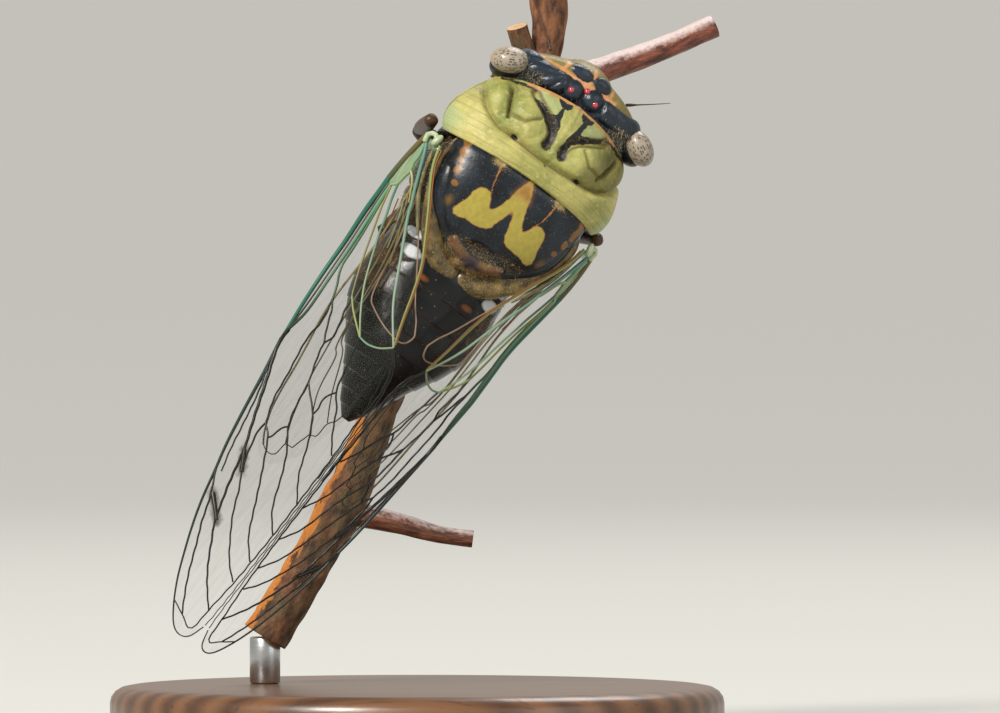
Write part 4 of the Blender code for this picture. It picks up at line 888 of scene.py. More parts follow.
# Membrane: two dried skins pressed into one clear film 0.02 mm thick, faintly smoky, with a film
# gloss and fine creases along the wing.
membrane, add, wear = finish("wing_membrane", roughness=0.16, specular_ior_level=0.5, ior=1.57)
where = add("TexCoord")["Object"]
creased = add("CombineXYZ", {
    "X": add("Attribute", attribute_name="wing_t")["Fac"],
    "Y": add("Attribute", attribute_name="wing_q")["Fac"],
})[0]
glints = add("Mapping", {"Vector": creased, "Scale": (0.9, 7.0, 1.0), "Rotation": (0, 0, 0.25)})[0]
glints = add("TexNoise", {"Vector": glints, "Scale": 1.0, "Detail": 3.0, "Roughness": 0.7})["Fac"]
creased = add("Mapping", {"Vector": creased, "Scale": (0.3, 2.6, 1.0), "Rotation": (0, 0, 0.25)})[0]
streak = add("TexNoise", {"Vector": creased, "Scale": 1.0, "Detail": 5.0, "Roughness": 0.6})["Fac"]
broad = add("TexNoise", {"Vector": where, "Scale": 160.0, "Detail": 3.0})["Fac"]
# Painted highlight: where the glint pattern peaks, the film turns pale and more opaque, standing in for light
# glinting off its creases.
glint = add("MapRange", {0: glints, 1: 0.66, 2: 0.78})[0]
pale = add("Mix", {0: glint, 6: "#34382A", 7: "#C9CDB4"}, data_type="RGBA")[2]
smoke = add("Attribute", attribute_name="smoke")["Fac"]
basal = add("Attribute", attribute_name="basal")["Fac"]
tint = add("Mix", {0: smoke, 6: pale, 7: "#3A2A16"}, data_type="RGBA")[2]
plate = add("Mix", {0: streak, 6: "#5E5844", 7: "#9DBE92"}, data_type="RGBA")[2]
tint = add("Mix", {0: basal, 6: tint, 7: plate}, data_type="RGBA")[2]
wear(base_color=tint)
veil = add("MapRange", {0: streak, 1: 0.4, 2: 0.75, 3: 0.02, 4: 0.08})[0]
veil = add("Math", {0: glint, 1: 0.28, 2: veil}, operation="MULTIPLY_ADD")[0]
veil = add("Math", {0: smoke, 1: 0.75, 2: veil}, operation="MULTIPLY_ADD")[0]
veil = add("Math", {0: basal, 1: 0.7, 2: veil}, operation="MULTIPLY_ADD", use_clamp=True)[0]
wear(alpha=veil)
rise = add("Bump", {"Height": streak, "Strength": 0.5, "Distance": 0.00012})["Normal"]
rise = add("Bump", {"Height": broad, "Strength": 0.35, "Distance": 0.0006, "Normal": rise})["Normal"]
wear(normal=rise)

# Vein: hollow hardened tube with a satin skin, its colour running along it.
vein_skin, add, wear = finish("wing_vein", roughness=0.36, specular_ior_level=0.4)
tint = add("Attribute", attribute_name="vein_tint")["Color"]
wear(base_color=tint)

# One tree sweeps a round section along every vein of a wing.
vein_tree = bpy.data.node_groups.new("sweep_veins", "GeometryNodeTree")
vein_tree.interface.new_socket("Geometry", in_out="INPUT", socket_type="NodeSocketGeometry")
vein_tree.interface.new_socket("Section sides", in_out="INPUT", socket_type="NodeSocketInt")
vein_tree.interface.new_socket("Skin", in_out="INPUT", socket_type="NodeSocketMaterial")
vein_tree.interface.new_socket("Geometry", in_out="OUTPUT", socket_type="NodeSocketGeometry")


add = partial(node, vein_tree)
given = add("NodeGroupInput")
wire = add("GeometryNodeMeshToCurve", {"Mesh": given["Geometry"]})["Curve"]
radius = add("GeometryNodeInputNamedAttribute", {"Name": "vein_radius"}, data_type="FLOAT")["Attribute"]
section = add("GeometryNodeCurvePrimitiveCircle",
               {"Resolution": given["Section sides"], "Radius": 1.0})["Curve"]
swept = add("GeometryNodeCurveToMesh",
             {"Curve": wire, "Profile Curve": section, "Scale": radius, "Fill Caps": True})["Mesh"]
swept = add("GeometryNodeSetShadeSmooth", {"Geometry": swept})["Geometry"]
swept = add("GeometryNodeRealizeInstances", {"Geometry": swept})["Geometry"]
swept = add("GeometryNodeSetMaterial", {"Geometry": swept, "Material": given["Skin"]})["Geometry"]
add("NodeGroupOutput", {"Geometry": swept})


def baked(obj, tree, values):
    """The object's mesh replaced by what the tree makes of it."""
    mod = obj.modifiers.new(tree.name, "NODES")
    mod.node_group = tree
    sockets = {s.name: s.identifier for s in tree.interface.items_tree if s.in_out == "INPUT"}
    for key, value in values.items():
        mod[sockets[key]] = value
    bpy.context.view_layer.update()
    made = bpy.data.meshes.new_from_object(obj.evaluated_get(bpy.context.evaluated_depsgraph_get()))
    obj.modifiers.remove(mod)
    obj.data = made
    return obj


def veins(name, table, drop, sx):
    """Every vein of a wing as one mesh of swept tubes."""
    verts, edges, radii, tints = [], [], [], []
    for key, r0, r1, points in table:
        line = curve(points, 0.3)
        n = len(line)
        wobble = 0.03 * np.sin(np.arange(n) * 1.3 + len(verts))
        wobble *= np.minimum(1, np.minimum(np.arange(n), np.arange(n)[::-1]) / 2)
        share = np.linspace(0, 1, n)
        start = len(verts)
        verts += on_body(roof(line[:, 0], line[:, 1] + wobble * (key == "dark"), drop, sx)).tolist()
        edges += [(start + i, start + i + 1) for i in range(n - 1)]
        radii += ((r0 + (r1 - r0) * share) / 1000).tolist()
        a, b = (np.array(colour(c)) for c in TINTS[key])
        tints += [v for s in share for v in a + (b - a) * s]
    mesh = bpy.data.meshes.new(name)
    mesh.from_pydata(verts, edges, [])
    mesh.attributes.new("vein_radius", "FLOAT", "POINT").data.foreach_set("value", radii)
    mesh.attributes.new("vein_tint", "FLOAT_COLOR", "POINT").data.foreach_set("color", tints)
    return baked(placed(name, mesh), vein_tree, {"Section sides": 8, "Skin": vein_skin})


def film(name, outline, table, drop, sx, thick=0.05, cell=0.42):
    """The membrane: a thin closed film that bows between its veins."""
    edge = curve(outline + [outline[0]], 0.3)[:-1]
    drawn = [curve(points, 0.5) for _, _, _, points in table]
    t0, q0 = edge.min(axis=0)
    t1, q1 = edge.max(axis=0)
    grid_t, grid_q = np.meshgrid(np.arange(t0, t1, cell), np.arange(q0, q1, cell))
    grid_t = (grid_t + (np.arange(grid_t.shape[0]) % 2)[:, None] * cell / 2).ravel()
    grid_q = grid_q.ravel()
    rim = -to_shape(grid_t, grid_q, edge.tolist())
    keep = rim > 0.18
    inner = np.stack((grid_t[keep], grid_q[keep]), axis=1)
    points = np.vstack((edge, inner))
    ring = list(range(len(edge)))
    made, _, faces, *_ = delaunay_2d_cdt(
        [Vector(p) for p in points], [(i, (i + 1) % len(edge)) for i in ring], [ring], 1, 0.0001)
    flat = np.array([tuple(v) for v in made])
    far = np.full(len(flat), 1e9)
    for line in drawn:
        far = np.minimum(far, to_line(flat[:, 0], flat[:, 1], line.tolist()))
    bow = 0.10 * np.minimum(far / 0.9, 1) ** 0.8 * np.sin(flat[:, 0] * 0.9 + flat[:, 1] * 1.7)
    top = roof(flat[:, 0], flat[:, 1], drop - bow, sx)
    low = roof(flat[:, 0], flat[:, 1], drop - bow + thick, sx)
    n = len(flat)
    all_faces = [tuple(f) for f in faces] + [tuple(n + i for i in reversed(f)) for f in faces]
    uses = {(a, b) for f in faces for a, b in zip(f, list(f[1:]) + [f[0]])}
    all_faces += [(b, a, n + a, n + b) for a, b in uses if (b, a) not in uses]
    both = np.vstack((flat, flat))
    t, q = both.T
    stain = np.minimum(to_line(t, q, SMOKY[0]), to_line(t, q, SMOKY[1])) - 0.16
    basal = np.maximum(step(to_shape(t, q, BASAL_CELL) - 0.1, 0.3), step(t - 13.6, 0.8))
    upper = drop < 0.5  # only the forewings are marked
    marks = {"wing_t": t, "wing_q": q, "basal": basal * upper, "smoke": step(stain - 0.12, 0.5) * upper}
    return piece(name, on_body(np.vstack((top, low))), all_faces, membrane, marks)


for side, sx in (("left", -1), ("right", 1)):
    for part, outline, table, drop in (("forewing", FORE_OUTLINE, FORE_VEINS, 0.12),
                                       ("hindwing", HIND_OUTLINE, HIND_VEINS, 1.15)):
        skin = film(f"{part}_{side}_membrane", outline, table, drop, sx)
        tubes = veins(f"{part}_{side}_veins", table, drop + 0.02, sx)
        for made in (skin, tubes):
            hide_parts(f"{part}_{side}")
            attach(made, "root")


# ---- Wing roots
# Where each wing is hung on the body: a knob of pale green cuticle and its bridge at the corner of
# the collar, a low ridge under the wing, and a fold of golden-brown skin against the mesonotum.
# Joint skin: thin chitin that was soft and folded before it dried, satin with a shine on its ridges.
root_skin, add, wear = finish("wing_root_skin", roughness=0.34, coat_weight=0.2, coat_roughness=0.1)
where = add("TexCoord")["Object"]
cloud = add("TexNoise", {"Vector": where, "Scale": 900.0, "Detail": 5.0})["Fac"]
pale = add("Mix", {0: cloud, 6: "#7C9068", 7: "#B4BC98"}, data_type="RGBA")[2]
cloud = add("MapRange", {0: cloud, 1: 0.38, 2: 0.62})[0]
brown = add("Mix", {0: cloud, 6: "#33250F", 7: "#7E6A38"}, data_type="RGBA")[2]
part = add("Attribute", attribute_name="brown")["Fac"]
paint = add("Mix", {0: part, 6: pale, 7: brown}, data_type="RGBA")[2]
paint = flecked(add, paint, 0.3)
wear(base_color=paint)
rise = add("Bump", {"Height": cloud, "Strength": 0.4, "Distance": 0.0001})["Normal"]
wear(normal=rise)


def stem(name, points, radii, mat, sides=14, flat=1.0, marks=None):
    """A round member along its centre line, its ends closed by small domes."""
    pts = np.array(points, float)
    n = len(pts)
    r = np.interp(np.linspace(0, 1, n), np.linspace(0, 1, len(radii)), radii)
    grown, centres, sizes = [], [], []
    d0, d1 = pts[1] - pts[0], pts[-1] - pts[-2]
    d0, d1 = d0 / np.linalg.norm(d0), d1 / np.linalg.norm(d1)
    for a in (0.15, 0.5, 0.85, 1.2):
        centres.append(pts[0] - d0 * r[0] * 0.8 * math.cos(a))
        sizes.append(r[0] * math.sin(a))
    centres += list(pts)
    sizes += list(r)
    for a in (1.2, 0.85, 0.5, 0.15):
        centres.append(pts[-1] + d1 * r[-1] * 0.8 * math.cos(a))
        sizes.append(r[-1] * math.sin(a))
    centres, sizes = np.array(centres), np.array(sizes)
    along = np.gradient(centres, axis=0)
    along /= np.linalg.norm(along, axis=1, keepdims=True)
    aside = np.cross(along[0], (0.123, 0.456, 0.88))
    a = 2 * math.pi * np.arange(sides) / sides
    for c, d, s in zip(centres, along, sizes):
        aside = aside - d * np.dot(aside, d)
        aside /= np.linalg.norm(aside)
        other = np.cross(d, aside)
        grown.append(c + s * (np.cos(a)[:, None] * aside + flat * np.sin(a)[:, None] * other))
    grid = np.array(grown)
    marks = {k: np.full(grid.shape[:2], float(v)) for k, v in (marks or {}).items()}
    marks["run"] = np.repeat(np.linspace(0, 1, len(grid))[:, None], sides, axis=1)
    return shell(name, grid, marks, mat)


wing_folds = []
for side, sx in (("left", -1), ("right", 1)):
    knob_at = roof(12.8, 9.35, -0.1, 1) * (sx, 1, 1)
    grid, _ = ball(knob_at, (0.32, 0.6, 0.34), sx * -0.3, 48, 24)
    knob = shell(f"wing_knob_{side}", grid, {"brown": np.zeros(grid.shape[:2])}, root_skin)
    bridge = stem(f"wing_bridge_{side}", roof(*np.array(
        [(12.75, 9.5), (12.5, 9.8), (12.55, 10.2), (12.85, 10.5), (13.4, 10.4)]).T, -0.05, sx),
        [0.24, 0.2, 0.22, 0.26, 0.22], root_skin, 20, 1.0, {"brown": 0.0})
    crest = curve([(13.3, 9.75), (14.2, 9.45), (15.6, 9.1), (17.2, 8.5), (18.7, 7.4), (20.2, 6.3)], 0.3)
    ridge = stem(f"wing_ridge_{side}", roof(*crest.T, 0.55, sx), [0.16, 0.2, 0.24, 0.24, 0.2, 0.08],
                  root_skin, 18, 1.0, {"brown": 0.85, "hairy": 1.3})
    fold = stem(f"wing_fold_{side}", curve([(sx * x, t, z) for x, t, z in (
        (6.55, 12.4, 3.6), (6.85, 13.4, 3.8), (6.8, 14.6, 3.95), (6.4, 15.8, 4.1), (5.7, 17.0, 4.3),
        (4.7, 18.3, 4.3), (3.6, 19.5, 4.1), (2.2, 20.5, 3.9), (0.6, 21.0, 3.8))], 0.3),
        [0.3, 0.36, 0.38, 0.45, 0.7, 1.0, 1.1, 1.1, 0.9], root_skin, 36, 0.8, {"brown": 1.0, "hairy": 1.0})
    for made in (knob, bridge, ridge, fold):
        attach(made, "root")
    wing_folds.append(fold)


# ---- Beak and feelers
# The beak is a jointed sheath folded back under the head; the feelers are short bristles on two
# thick base joints, each set under the ledge of the head in front of the eye.
# Leg chitin, tanned dark brown in the air after the moult: satin, paler where it thins at a joint.
leg_chitin, add, wear = finish("leg_chitin", roughness=0.4, specular_ior_level=0.28)
where = add("TexCoord")["Object"]
cloud = add("TexNoise", {"Vector": where, "Scale": 800.0, "Detail": 5.0})["Fac"]
dark, pale = mottled(
    add, (cloud, "#0A0605", "#2A1A14"), (cloud, "#5A3A1E", "#8E6A3E"),
)
joint = add("Attribute", attribute_name="pale")["Fac"]
paint = add("Mix", {0: joint, 6: dark, 7: pale}, data_type="RGBA")[2]
wear(base_color=paint)
fine = add("TexNoise", {"Vector": where, "Scale": 3000.0, "Detail": 4.0})["Fac"]
rise = add("Bump", {"Height": fine, "Strength": 0.6, "Distance": 0.00012})["Normal"]
wear(normal=rise)

line = curve([(0, 2.3, -4.9), (0, 3.6, -5.9), (0, 6.0, -6.3), (0, 8.6, -6.4), (0, 10.6, -6.45)], 0.3)
beak = stem("rostrum_sheath", line, [0.53, 0.5, 0.46, 0.42, 0.36, 0.24], leg_chitin, 18, 1.0, {"pale": 0.3})
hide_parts("rostrum")
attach(beak, "root")

for side, sx, way in (("left", -1, (-0.55, -0.55, -0.62)), ("right", 1, (0.78, -0.58, -0.12))):
    root = np.array((sx * 4.05, 1.08, 1.35))
    way = np.array(way) / np.linalg.norm(way)
    line = [root + way * 3.9 * k + (0, 0, 0.18 * math.sin(0.62 * k * 5)) for k in np.linspace(0, 1, 26)]
    radii = [0.14, 0.13, 0.07, 0.055, 0.05, 0.045, 0.04, 0.035, 0.03, 0.02]
    bristle = stem(f"antenna_{side}_bristle", line, radii, leg_chitin, 12, 1.0, {"pale": 0.15})
    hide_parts(f"antenna_{side}")
    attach(bristle, "root")


# ---- Twig
# A cut length of thin branch, reddish bark split by orange cracks, with a painted whitish sheen on its
# upper side, a sawn stub and a younger, smoother side shoot; the wood shows pale at each cut.
TWIG_LINE = [
    # height, x of the centre, radius, in the scene's own mm
    (8.0, -13.0, 1.98), (13.5, -9.6, 1.85), (19.7, -6.2, 1.72), (26.0, -3.7, 1.57),
    (46.0, 4.6, 1.36), (53.0, 8.7, 1.34), (58.0, 11.0, 1.3), (60.5, 11.2, 1.5),
    (63.4, 11.1, 1.75),
]
TWIG_Y = 3.7
twig = eased(TWIG_LINE, 340, own=True)


def bark_rows(centres, radii, sides, seed, lump, knots=()):
    """Rings of a twig, lumpy along its length, with swollen knots."""
    centres = np.array(centres, float)
    along = np.gradient(centres, axis=0)
    along /= np.linalg.norm(along, axis=1, keepdims=True)
    aside = np.cross(along, (0.0, 1.0, 0.0))
    aside /= np.linalg.norm(aside, axis=1, keepdims=True)
    other = np.cross(along, aside)
    far = np.concatenate(([0], np.cumsum(np.linalg.norm(np.diff(centres, axis=0), axis=1))))
    a = 2 * math.pi * np.arange(sides) / sides
    s, w = np.meshgrid(far, a, indexing="ij")
    rough = np.zeros(s.shape)
    rng = np.random.default_rng(seed)
    for _ in range(26):
        k, f, p = rng.integers(1, 9), rng.uniform(0.3, 3.2), rng.uniform(0, 6.28)
        rough += np.sin(k * w + f * s + p) / (4 + k + 2 * f)
    r = np.array(radii)[:, None] * (1 + lump * rough)
    for at, high, wide in knots:
        r = r + high * np.exp(-((s - at) / wide) ** 2)
    c, d = np.cos(w)[..., None], np.sin(w)[..., None]
    return centres[:, None] + r[..., None] * (c * aside[:, None] + d * other[:, None]), s, w


# Bark of a young hardwood, stretched and cracked as the wood beneath it grew: matt where it is old,
# smooth and satin on the shoots, and pale bare wood at each saw cut.
bark, add, wear = finish("twig_bark", specular_ior_level=0.4)
where = add("TexCoord")["Object"]
grained = add("CombineXYZ", {
    "X": add("Attribute", attribute_name="around_x")["Fac"],
    "Y": add("Attribute", attribute_name="around_y")["Fac"],
    "Z": add("Attribute", attribute_name="length")["Fac"],
})[0]
drawn = add("Mapping", {"Vector": grained, "Scale": (1.0, 1.0, 0.28)})[0]
plates = add("TexNoise", {"Vector": drawn, "Scale": 2.2, "Detail": 8.0, "Roughness": 0.62})["Fac"]
grit = add("TexNoise", {"Vector": where, "Scale": 2600.0, "Detail": 6.0, "Roughness": 0.7})["Fac"]
patch = add("TexNoise", {"Vector": where, "Scale": 230.0, "Detail": 4.0})["Fac"]
worn = add("MapRange", {0: plates, 1: 0.36, 2: 0.64})[0]
warm = add("Mix", {0: worn, 6: "#3A2216", 7: "#8C5C3C"}, data_type="RGBA")[2]
# Old bark near the foot has weathered to an olive grey between its cracks.
aged = add("Attribute", attribute_name="length")["Fac"]
aged = add("MapRange", {0: aged, 1: 30.0, 2: 46.0, 3: 0.92, 4: 0.0})[0]
spread = add("MapRange", {0: patch, 1: 0.3, 2: 0.48})[0]
aged = add("Math", {0: aged, 1: spread}, operation="MULTIPLY")[0]
aged_tone = add("Mix", {0: worn, 6: "#33271A", 7: "#6A573C"}, data_type="RGBA")[2]
warm = add("Mix", {0: aged, 6: warm, 7: aged_tone}, data_type="RGBA")[2]
low = add("Attribute", attribute_name="orange")["Fac"]
low = add("Math", {0: patch, 1: 0.55, 2: low}, operation="MULTIPLY_ADD")[0]
low = add("Math", {0: plates, 1: 0.5, 2: low}, operation="MULTIPLY_ADD")[0]
share = add("MapRange", {0: low, 1: 0.98, 2: 1.03, 3: 0.0, 4: 0.95})[0]
peeled = add("Mix", {0: grit, 6: "#8E4A16", 7: "#D68A36"}, data_type="RGBA")[2]
warm = add("Mix", {0: share, 6: warm, 7: peeled}, data_type="RGBA")[2]
# A painted whitish sheen lies on the upper side of young bark, weaker on the old.
top_sheen = add("Attribute", attribute_name="top_sheen")["Fac"]
top_sheen_share = add("Math", {0: grit, 1: 0.6, 2: top_sheen}, operation="MULTIPLY_ADD")[0]
top_sheen_share = add("Math", {0: plates, 1: 0.5, 2: top_sheen_share}, operation="MULTIPLY_ADD")[0]
top_sheen_share = add("MapRange", {0: top_sheen_share, 1: 0.88, 2: 1.22, 3: 0.0, 4: 0.85})[0]
young = add("Attribute", attribute_name="young")["Fac"]
shoot = add("Mix", {0: worn, 6: "#42180F", 7: "#8A4632"}, data_type="RGBA")[2]
warm = add("Mix", {0: young, 6: warm, 7: shoot}, data_type="RGBA")[2]
warm = add("Mix", {0: top_sheen_share, 6: warm, 7: "#D2C2BE"}, data_type="RGBA")[2]
cut = add("Attribute", attribute_name="cut")["Fac"]
warm = add("Mix", {0: cut, 6: warm, 7: "#C6A077"}, data_type="RGBA")[2]
wear(base_color=warm)
dull = add("MapRange", {0: young, 1: 0.0, 2: 1.0, 3: 0.8, 4: 0.3})[0]
wear(roughness=dull)
rise = add("Bump", {"Height": plates, "Strength": 0.7, "Distance": 0.0003})["Normal"]
rise = add("Bump", {"Height": grit, "Strength": 0.4, "Distance": 0.00012, "Normal": rise})["Normal"]
wear(normal=rise)


def branch(name, centres, radii, sides, seed, lump, young=0.0, knots=(), orange=0.0):
    """A length of twig with a flat, pale cut at each end."""
    rows, s, w = bark_rows(centres, radii, sides, seed, lump, knots)
    out = rows - rows.mean(axis=1, keepdims=True)
    out /= np.linalg.norm(out, axis=2, keepdims=True)
    flank = step(out[..., 0] + 0.3, 0.9) * step(s - 30, 5)
    # The mark worked out from the outward direction is highest where the bark faces up and toward the upper
    # left front: it carries the painted sheen.
    marks = {"around_x": np.cos(w), "around_y": np.sin(w), "length": s, "young": np.full(s.shape, young),
             "orange": orange * flank, "cut": np.zeros(s.shape),
             "top_sheen": (0.25 + 0.75 * young) * (0.75 * out[..., 2] - 0.3 * out[..., 0] - 0.3 * out[..., 1])}
    ends = []
    for end in (0, -1):
        middle = rows[end].mean(axis=0)
        ends.append([middle + (rows[end] - middle) * k for k in (0.97, 0.7, 0.35)])
    grid = np.concatenate((np.array(ends[0][::-1]), rows, np.array(ends[1])))
    for key in marks:
        first, last = np.repeat(marks[key][:1], 3, axis=0), np.repeat(marks[key][-1:], 3, axis=0)
        if key == "cut":
            first, last = first + 1, last + 1
        marks[key] = np.concatenate((first, marks[key], last))
    made = solid(name, grid, marks, bark)
    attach(made, "root")
    return made


main_twig = branch("twig_main", [(x, TWIG_Y, z) for z, x, _ in twig], twig[:, 2], 150, 5, 0.09,
                   knots=((13, 0.3, 2.6), (33, 0.12, 1.2), (52.5, 0.18, 1.6)), orange=0.6)
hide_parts("perch_twig")
for name, (x0, z0), (x1, z1), r0, r1, depth, young in (
    ("upper", (9.2, 53.7), (25.3, 60.0), 1.2, 0.98, 7.0, 0.85),
    ("lower", (-6.0, 18.6), (4.7, 16.2), 0.95, 0.72, 3.7, 0.6),
    ("stub", (10.1, 54.9), (8.45, 59.75), 0.85, 0.9, 1.9, 0.0),
):
    k = np.linspace(0, 1, 90)[:, None]
    line = np.array((x0, TWIG_Y, z0)) * (1 - k) + np.array((x1, depth, z1)) * k
    line[:, 2] += 0.18 * np.sin(k[:, 0] * 7.0) * k[:, 0]
    radii = np.interp(k[:, 0], (0, 0.25, 0.8, 1), (r0 * 1.15, r0, r1, r1))
    shoot = branch(f"twig_{name}", line, radii, 80, 11, 0.05, young)
    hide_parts("perch_twig")


# ---- Legs
# Six jointed legs hold the twig: thick thighs, thin shins with short spines, and feet ending in a
# pair of hooked claws.
def twig_near(t):
    """The twig's centre on the animal, level with t."""
    at = np.array([(x, TWIG_Y, z) for z, x, _ in twig]) - HEAD_AT
    own = np.stack((at @ RIGHT, at @ BACK, at @ UP), axis=1)
    return own[np.argmin(np.abs(own[:, 1] - t))]


for pair, root, bend, knee, foot_t, thigh_r in (
    # hip joint, thigh joint and knee on the animal, where the foot holds the twig, radii of the thigh
    ("fore", (2.4, 7.4, -6.1), (3.4, 6.6, -7.0), (4.9, 3.2, -7.4), 7.6, (0.62, 0.95, 0.98, 0.8, 0.5)),
    ("mid", (3.2, 13.4, -6.4), (7.5, 12.8, -6.2), (8.8, 11.7, 0.9), 14.0, (0.55, 0.72, 0.75, 0.7, 0.62)),
    ("hind", (3.2, 17.2, -6.1), (3.9, 17.9, -7.0), (4.6, 21.4, -8.2), 26.0, (0.5, 0.66, 0.7, 0.62, 0.48)),
):
    for side, sx in (("left", -1), ("right", 1)):
        flip = np.array((sx, 1, 1))
        hold = twig_near(foot_t)
        spread = 2.25 + {"fore": 1.0, "mid": 3.9, "hind": 0.8}[pair]
        ankle = hold + (sx * spread, -0.6, 1.5)
        toe = hold + (sx * 2.25, 0.6, -0.2)
        a, b, c = (np.array(p) * flip for p in (root, bend, knee))
        shin = [c, c * 0.66 + ankle * 0.34 + (sx * 0.25, 0, 0.1), c * 0.3 + ankle * 0.7, ankle]
        limb = (
            # line, radii, sides, how flat, how pale
            (curve([a, (a + b) / 2 + (0, 0, 0.15), b], 0.25), (0.95, 1.0, 0.7), 24, 1.0, 0.1),
            (curve([b, b * 0.7 + c * 0.3, b * 0.3 + c * 0.7, c], 0.2), thigh_r, 24, 0.85, 0.25),
            ([c - (c - b) * 0.06, c, c + (ankle - c) * 0.03], (0.5, 0.58, 0.48), 20, 1.0, 0.15),
            (curve(shin, 0.25), (0.42, 0.36, 0.33, 0.36), 20, 1.0, 0.05),
            (curve([ankle, ankle * 0.5 + toe * 0.5 + (sx * 0.15, 0, 0), toe], 0.2), (0.33, 0.26, 0.27, 0.22),
             16, 1.0, 0.15),
        )
        built = [stem("limb", line, radii, leg_chitin, sides, flat, {"pale": pale})
                 for line, radii, sides, flat, pale in limb]
        for way in (-1, 1):
            tip = hold + (sx * 1.55, 0.9 + way * 0.45, -0.55)
            built.append(stem("claw", curve([toe, (toe + tip) / 2 + (sx * 0.25, 0.3 * way, -0.3), tip], 0.12),
                              [0.13, 0.11, 0.03], leg_chitin, 10, 1.0, {"pale": 0.0}))
        down = (ankle - c) / np.linalg.norm(ankle - c)
        for k, way in ((0.35, 1), (0.5, -1), (0.65, 1), (0.8, -1), (0.95, 1), (0.95, -1)):
            base = c + (ankle - c) * k
            out = np.cross(down, (0.3, way, 0.5 * way))
            out /= np.linalg.norm(out)
            line = [base, base + out * 0.35 + down * 0.2, base + out * 0.75 + down * 0.45]
            built.append(stem("spine", line, [0.09, 0.07, 0.02], leg_chitin, 8, 1.0, {"pale": 0.3}))
        bm = bmesh.new()
        for made in built:
            bm.from_mesh(made.data)
            bpy.data.objects.remove(made)
        mesh = bpy.data.meshes.new(f"leg_{pair}_{side}_joined")
        bm.to_mesh(mesh)
        bm.free()
        mesh.materials.append(leg_chitin)
        leg = placed(f"leg_{pair}_{side}_joined", mesh)
        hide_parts(f"leg_{pair}_{side}")
        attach(leg, "root")


# ---- Hair
# Short gold and silver hairs lie back over the head, the saddle's grooves, the flanks and the rings
# of the belly; each is drawn 0.02 mm thick, a little coarser than life, so that it still shows.
# A hair is drawn-out chitin with hardly any pigment, so it glints gold along its length.
hair_skin, add, wear = finish("gold_hair", roughness=0.45, specular_ior_level=0.5)
tone = add("Attribute", attribute_name="hair_tone")["Fac"]
gold = add("Mix", {0: tone, 6: "#6E5428", 7: "#D9C596"}, data_type="RGBA")[2]
wear(base_color=gold)

hair_tree = bpy.data.node_groups.new("lay_hair", "GeometryNodeTree")
for label, kind in (("Geometry", "Geometry"), ("Per square metre", "Float"), ("Length", "Float"),
                    ("Thickness", "Float"), ("Lean", "Float"), ("Back", "Vector"), ("Skin", "Material")):
    hair_tree.interface.new_socket(label, in_out="INPUT", socket_type="NodeSocket" + kind)
hair_tree.interface.new_socket("Geometry", in_out="OUTPUT", socket_type="NodeSocketGeometry")
add = partial(node, hair_tree)
given = add("NodeGroupInput")
dense = add("GeometryNodeInputNamedAttribute", {"Name": "hairy"}, data_type="FLOAT")["Attribute"]
dense = add("ShaderNodeMath", {0: dense, 1: given["Per square metre"]}, operation="MULTIPLY")[0]
scatter = add("GeometryNodeDistributePointsOnFaces",
               {"Mesh": given["Geometry"], "Density": dense, "Seed": 7}, distribute_method="RANDOM")
normal = scatter["Normal"]
drift = add("FunctionNodeRandomValue", {"Min": (-0.35, -0.35, -0.35), "Max": (0.35, 0.35, 0.35), "Seed": 3},
             data_type="FLOAT_VECTOR")["Value"]
laid = add("ShaderNodeVectorMath", {0: given["Back"], "Scale": given["Lean"]}, operation="SCALE")[0]
way = add("ShaderNodeVectorMath", {0: normal, 1: laid}, operation="ADD")[0]
way = add("ShaderNodeVectorMath", {0: way, 1: drift}, operation="ADD")[0]
turned = add("FunctionNodeAlignRotationToVector", {"Vector": way}, axis="Z")["Rotation"]
strand = add("GeometryNodeMeshCone", {
    "Vertices": 3, "Radius Top": 0.0, "Radius Bottom": given["Thickness"], "Depth": given["Length"],
})["Mesh"]
longer = add("FunctionNodeRandomValue", {2: 0.6, 3: 1.25, "Seed": 5}, data_type="FLOAT")[1]
laid_out = add("GeometryNodeInstanceOnPoints", {
    "Points": scatter["Points"], "Instance": strand, "Rotation": turned, "Scale": longer,
})["Instances"]
tone = add("FunctionNodeRandomValue", {2: 0.0, 3: 1.0, "Seed": 9}, data_type="FLOAT")[1]
laid_out = add("GeometryNodeStoreNamedAttribute", {
    "Geometry": laid_out, "Name": "hair_tone", "Value": tone,
}, data_type="FLOAT", domain="INSTANCE")["Geometry"]
laid_out = add("GeometryNodeRealizeInstances", {"Geometry": laid_out})["Geometry"]
laid_out = add("GeometryNodeSetMaterial", {"Geometry": laid_out, "Material": given["Skin"]})["Geometry"]
add("NodeGroupOutput", {"Geometry": laid_out})

for coated, per_mm2, length, thick, lean, slot in (
    # hairs on a square mm where the skin is fully hairy, length and thickness in mm, lean to the rear
    (head, 55, 0.24, 0.011, 0.9, "shell_black"), (pronotum, 9, 0.22, 0.011, 1.6, "shell_olive"),
    (mesonotum, 60, 0.16, 0.009, 1.8, "shell_black"), (thorax, 9, 0.45, 0.014, 1.2, "shell_black"),
    (abdomen, 14, 0.22, 0.011, 2.2, "shell_black"), (wing_folds[0], 45, 0.13, 0.009, 2.0, "wing_clear"),
    (wing_folds[1], 45, 0.13, 0.009, 2.0, "wing_clear"),
):
    coat = placed(coated.name.replace("_shell", "") + "_hairs", coated.data.copy())
    baked(coat, hair_tree, {
        "Per square metre": per_mm2 * 1e6, "Length": length / 1000, "Thickness": thick / 1000, "Lean": lean,
        "Back": tuple(BACK), "Skin": hair_skin,
    })
    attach(coat, "root")


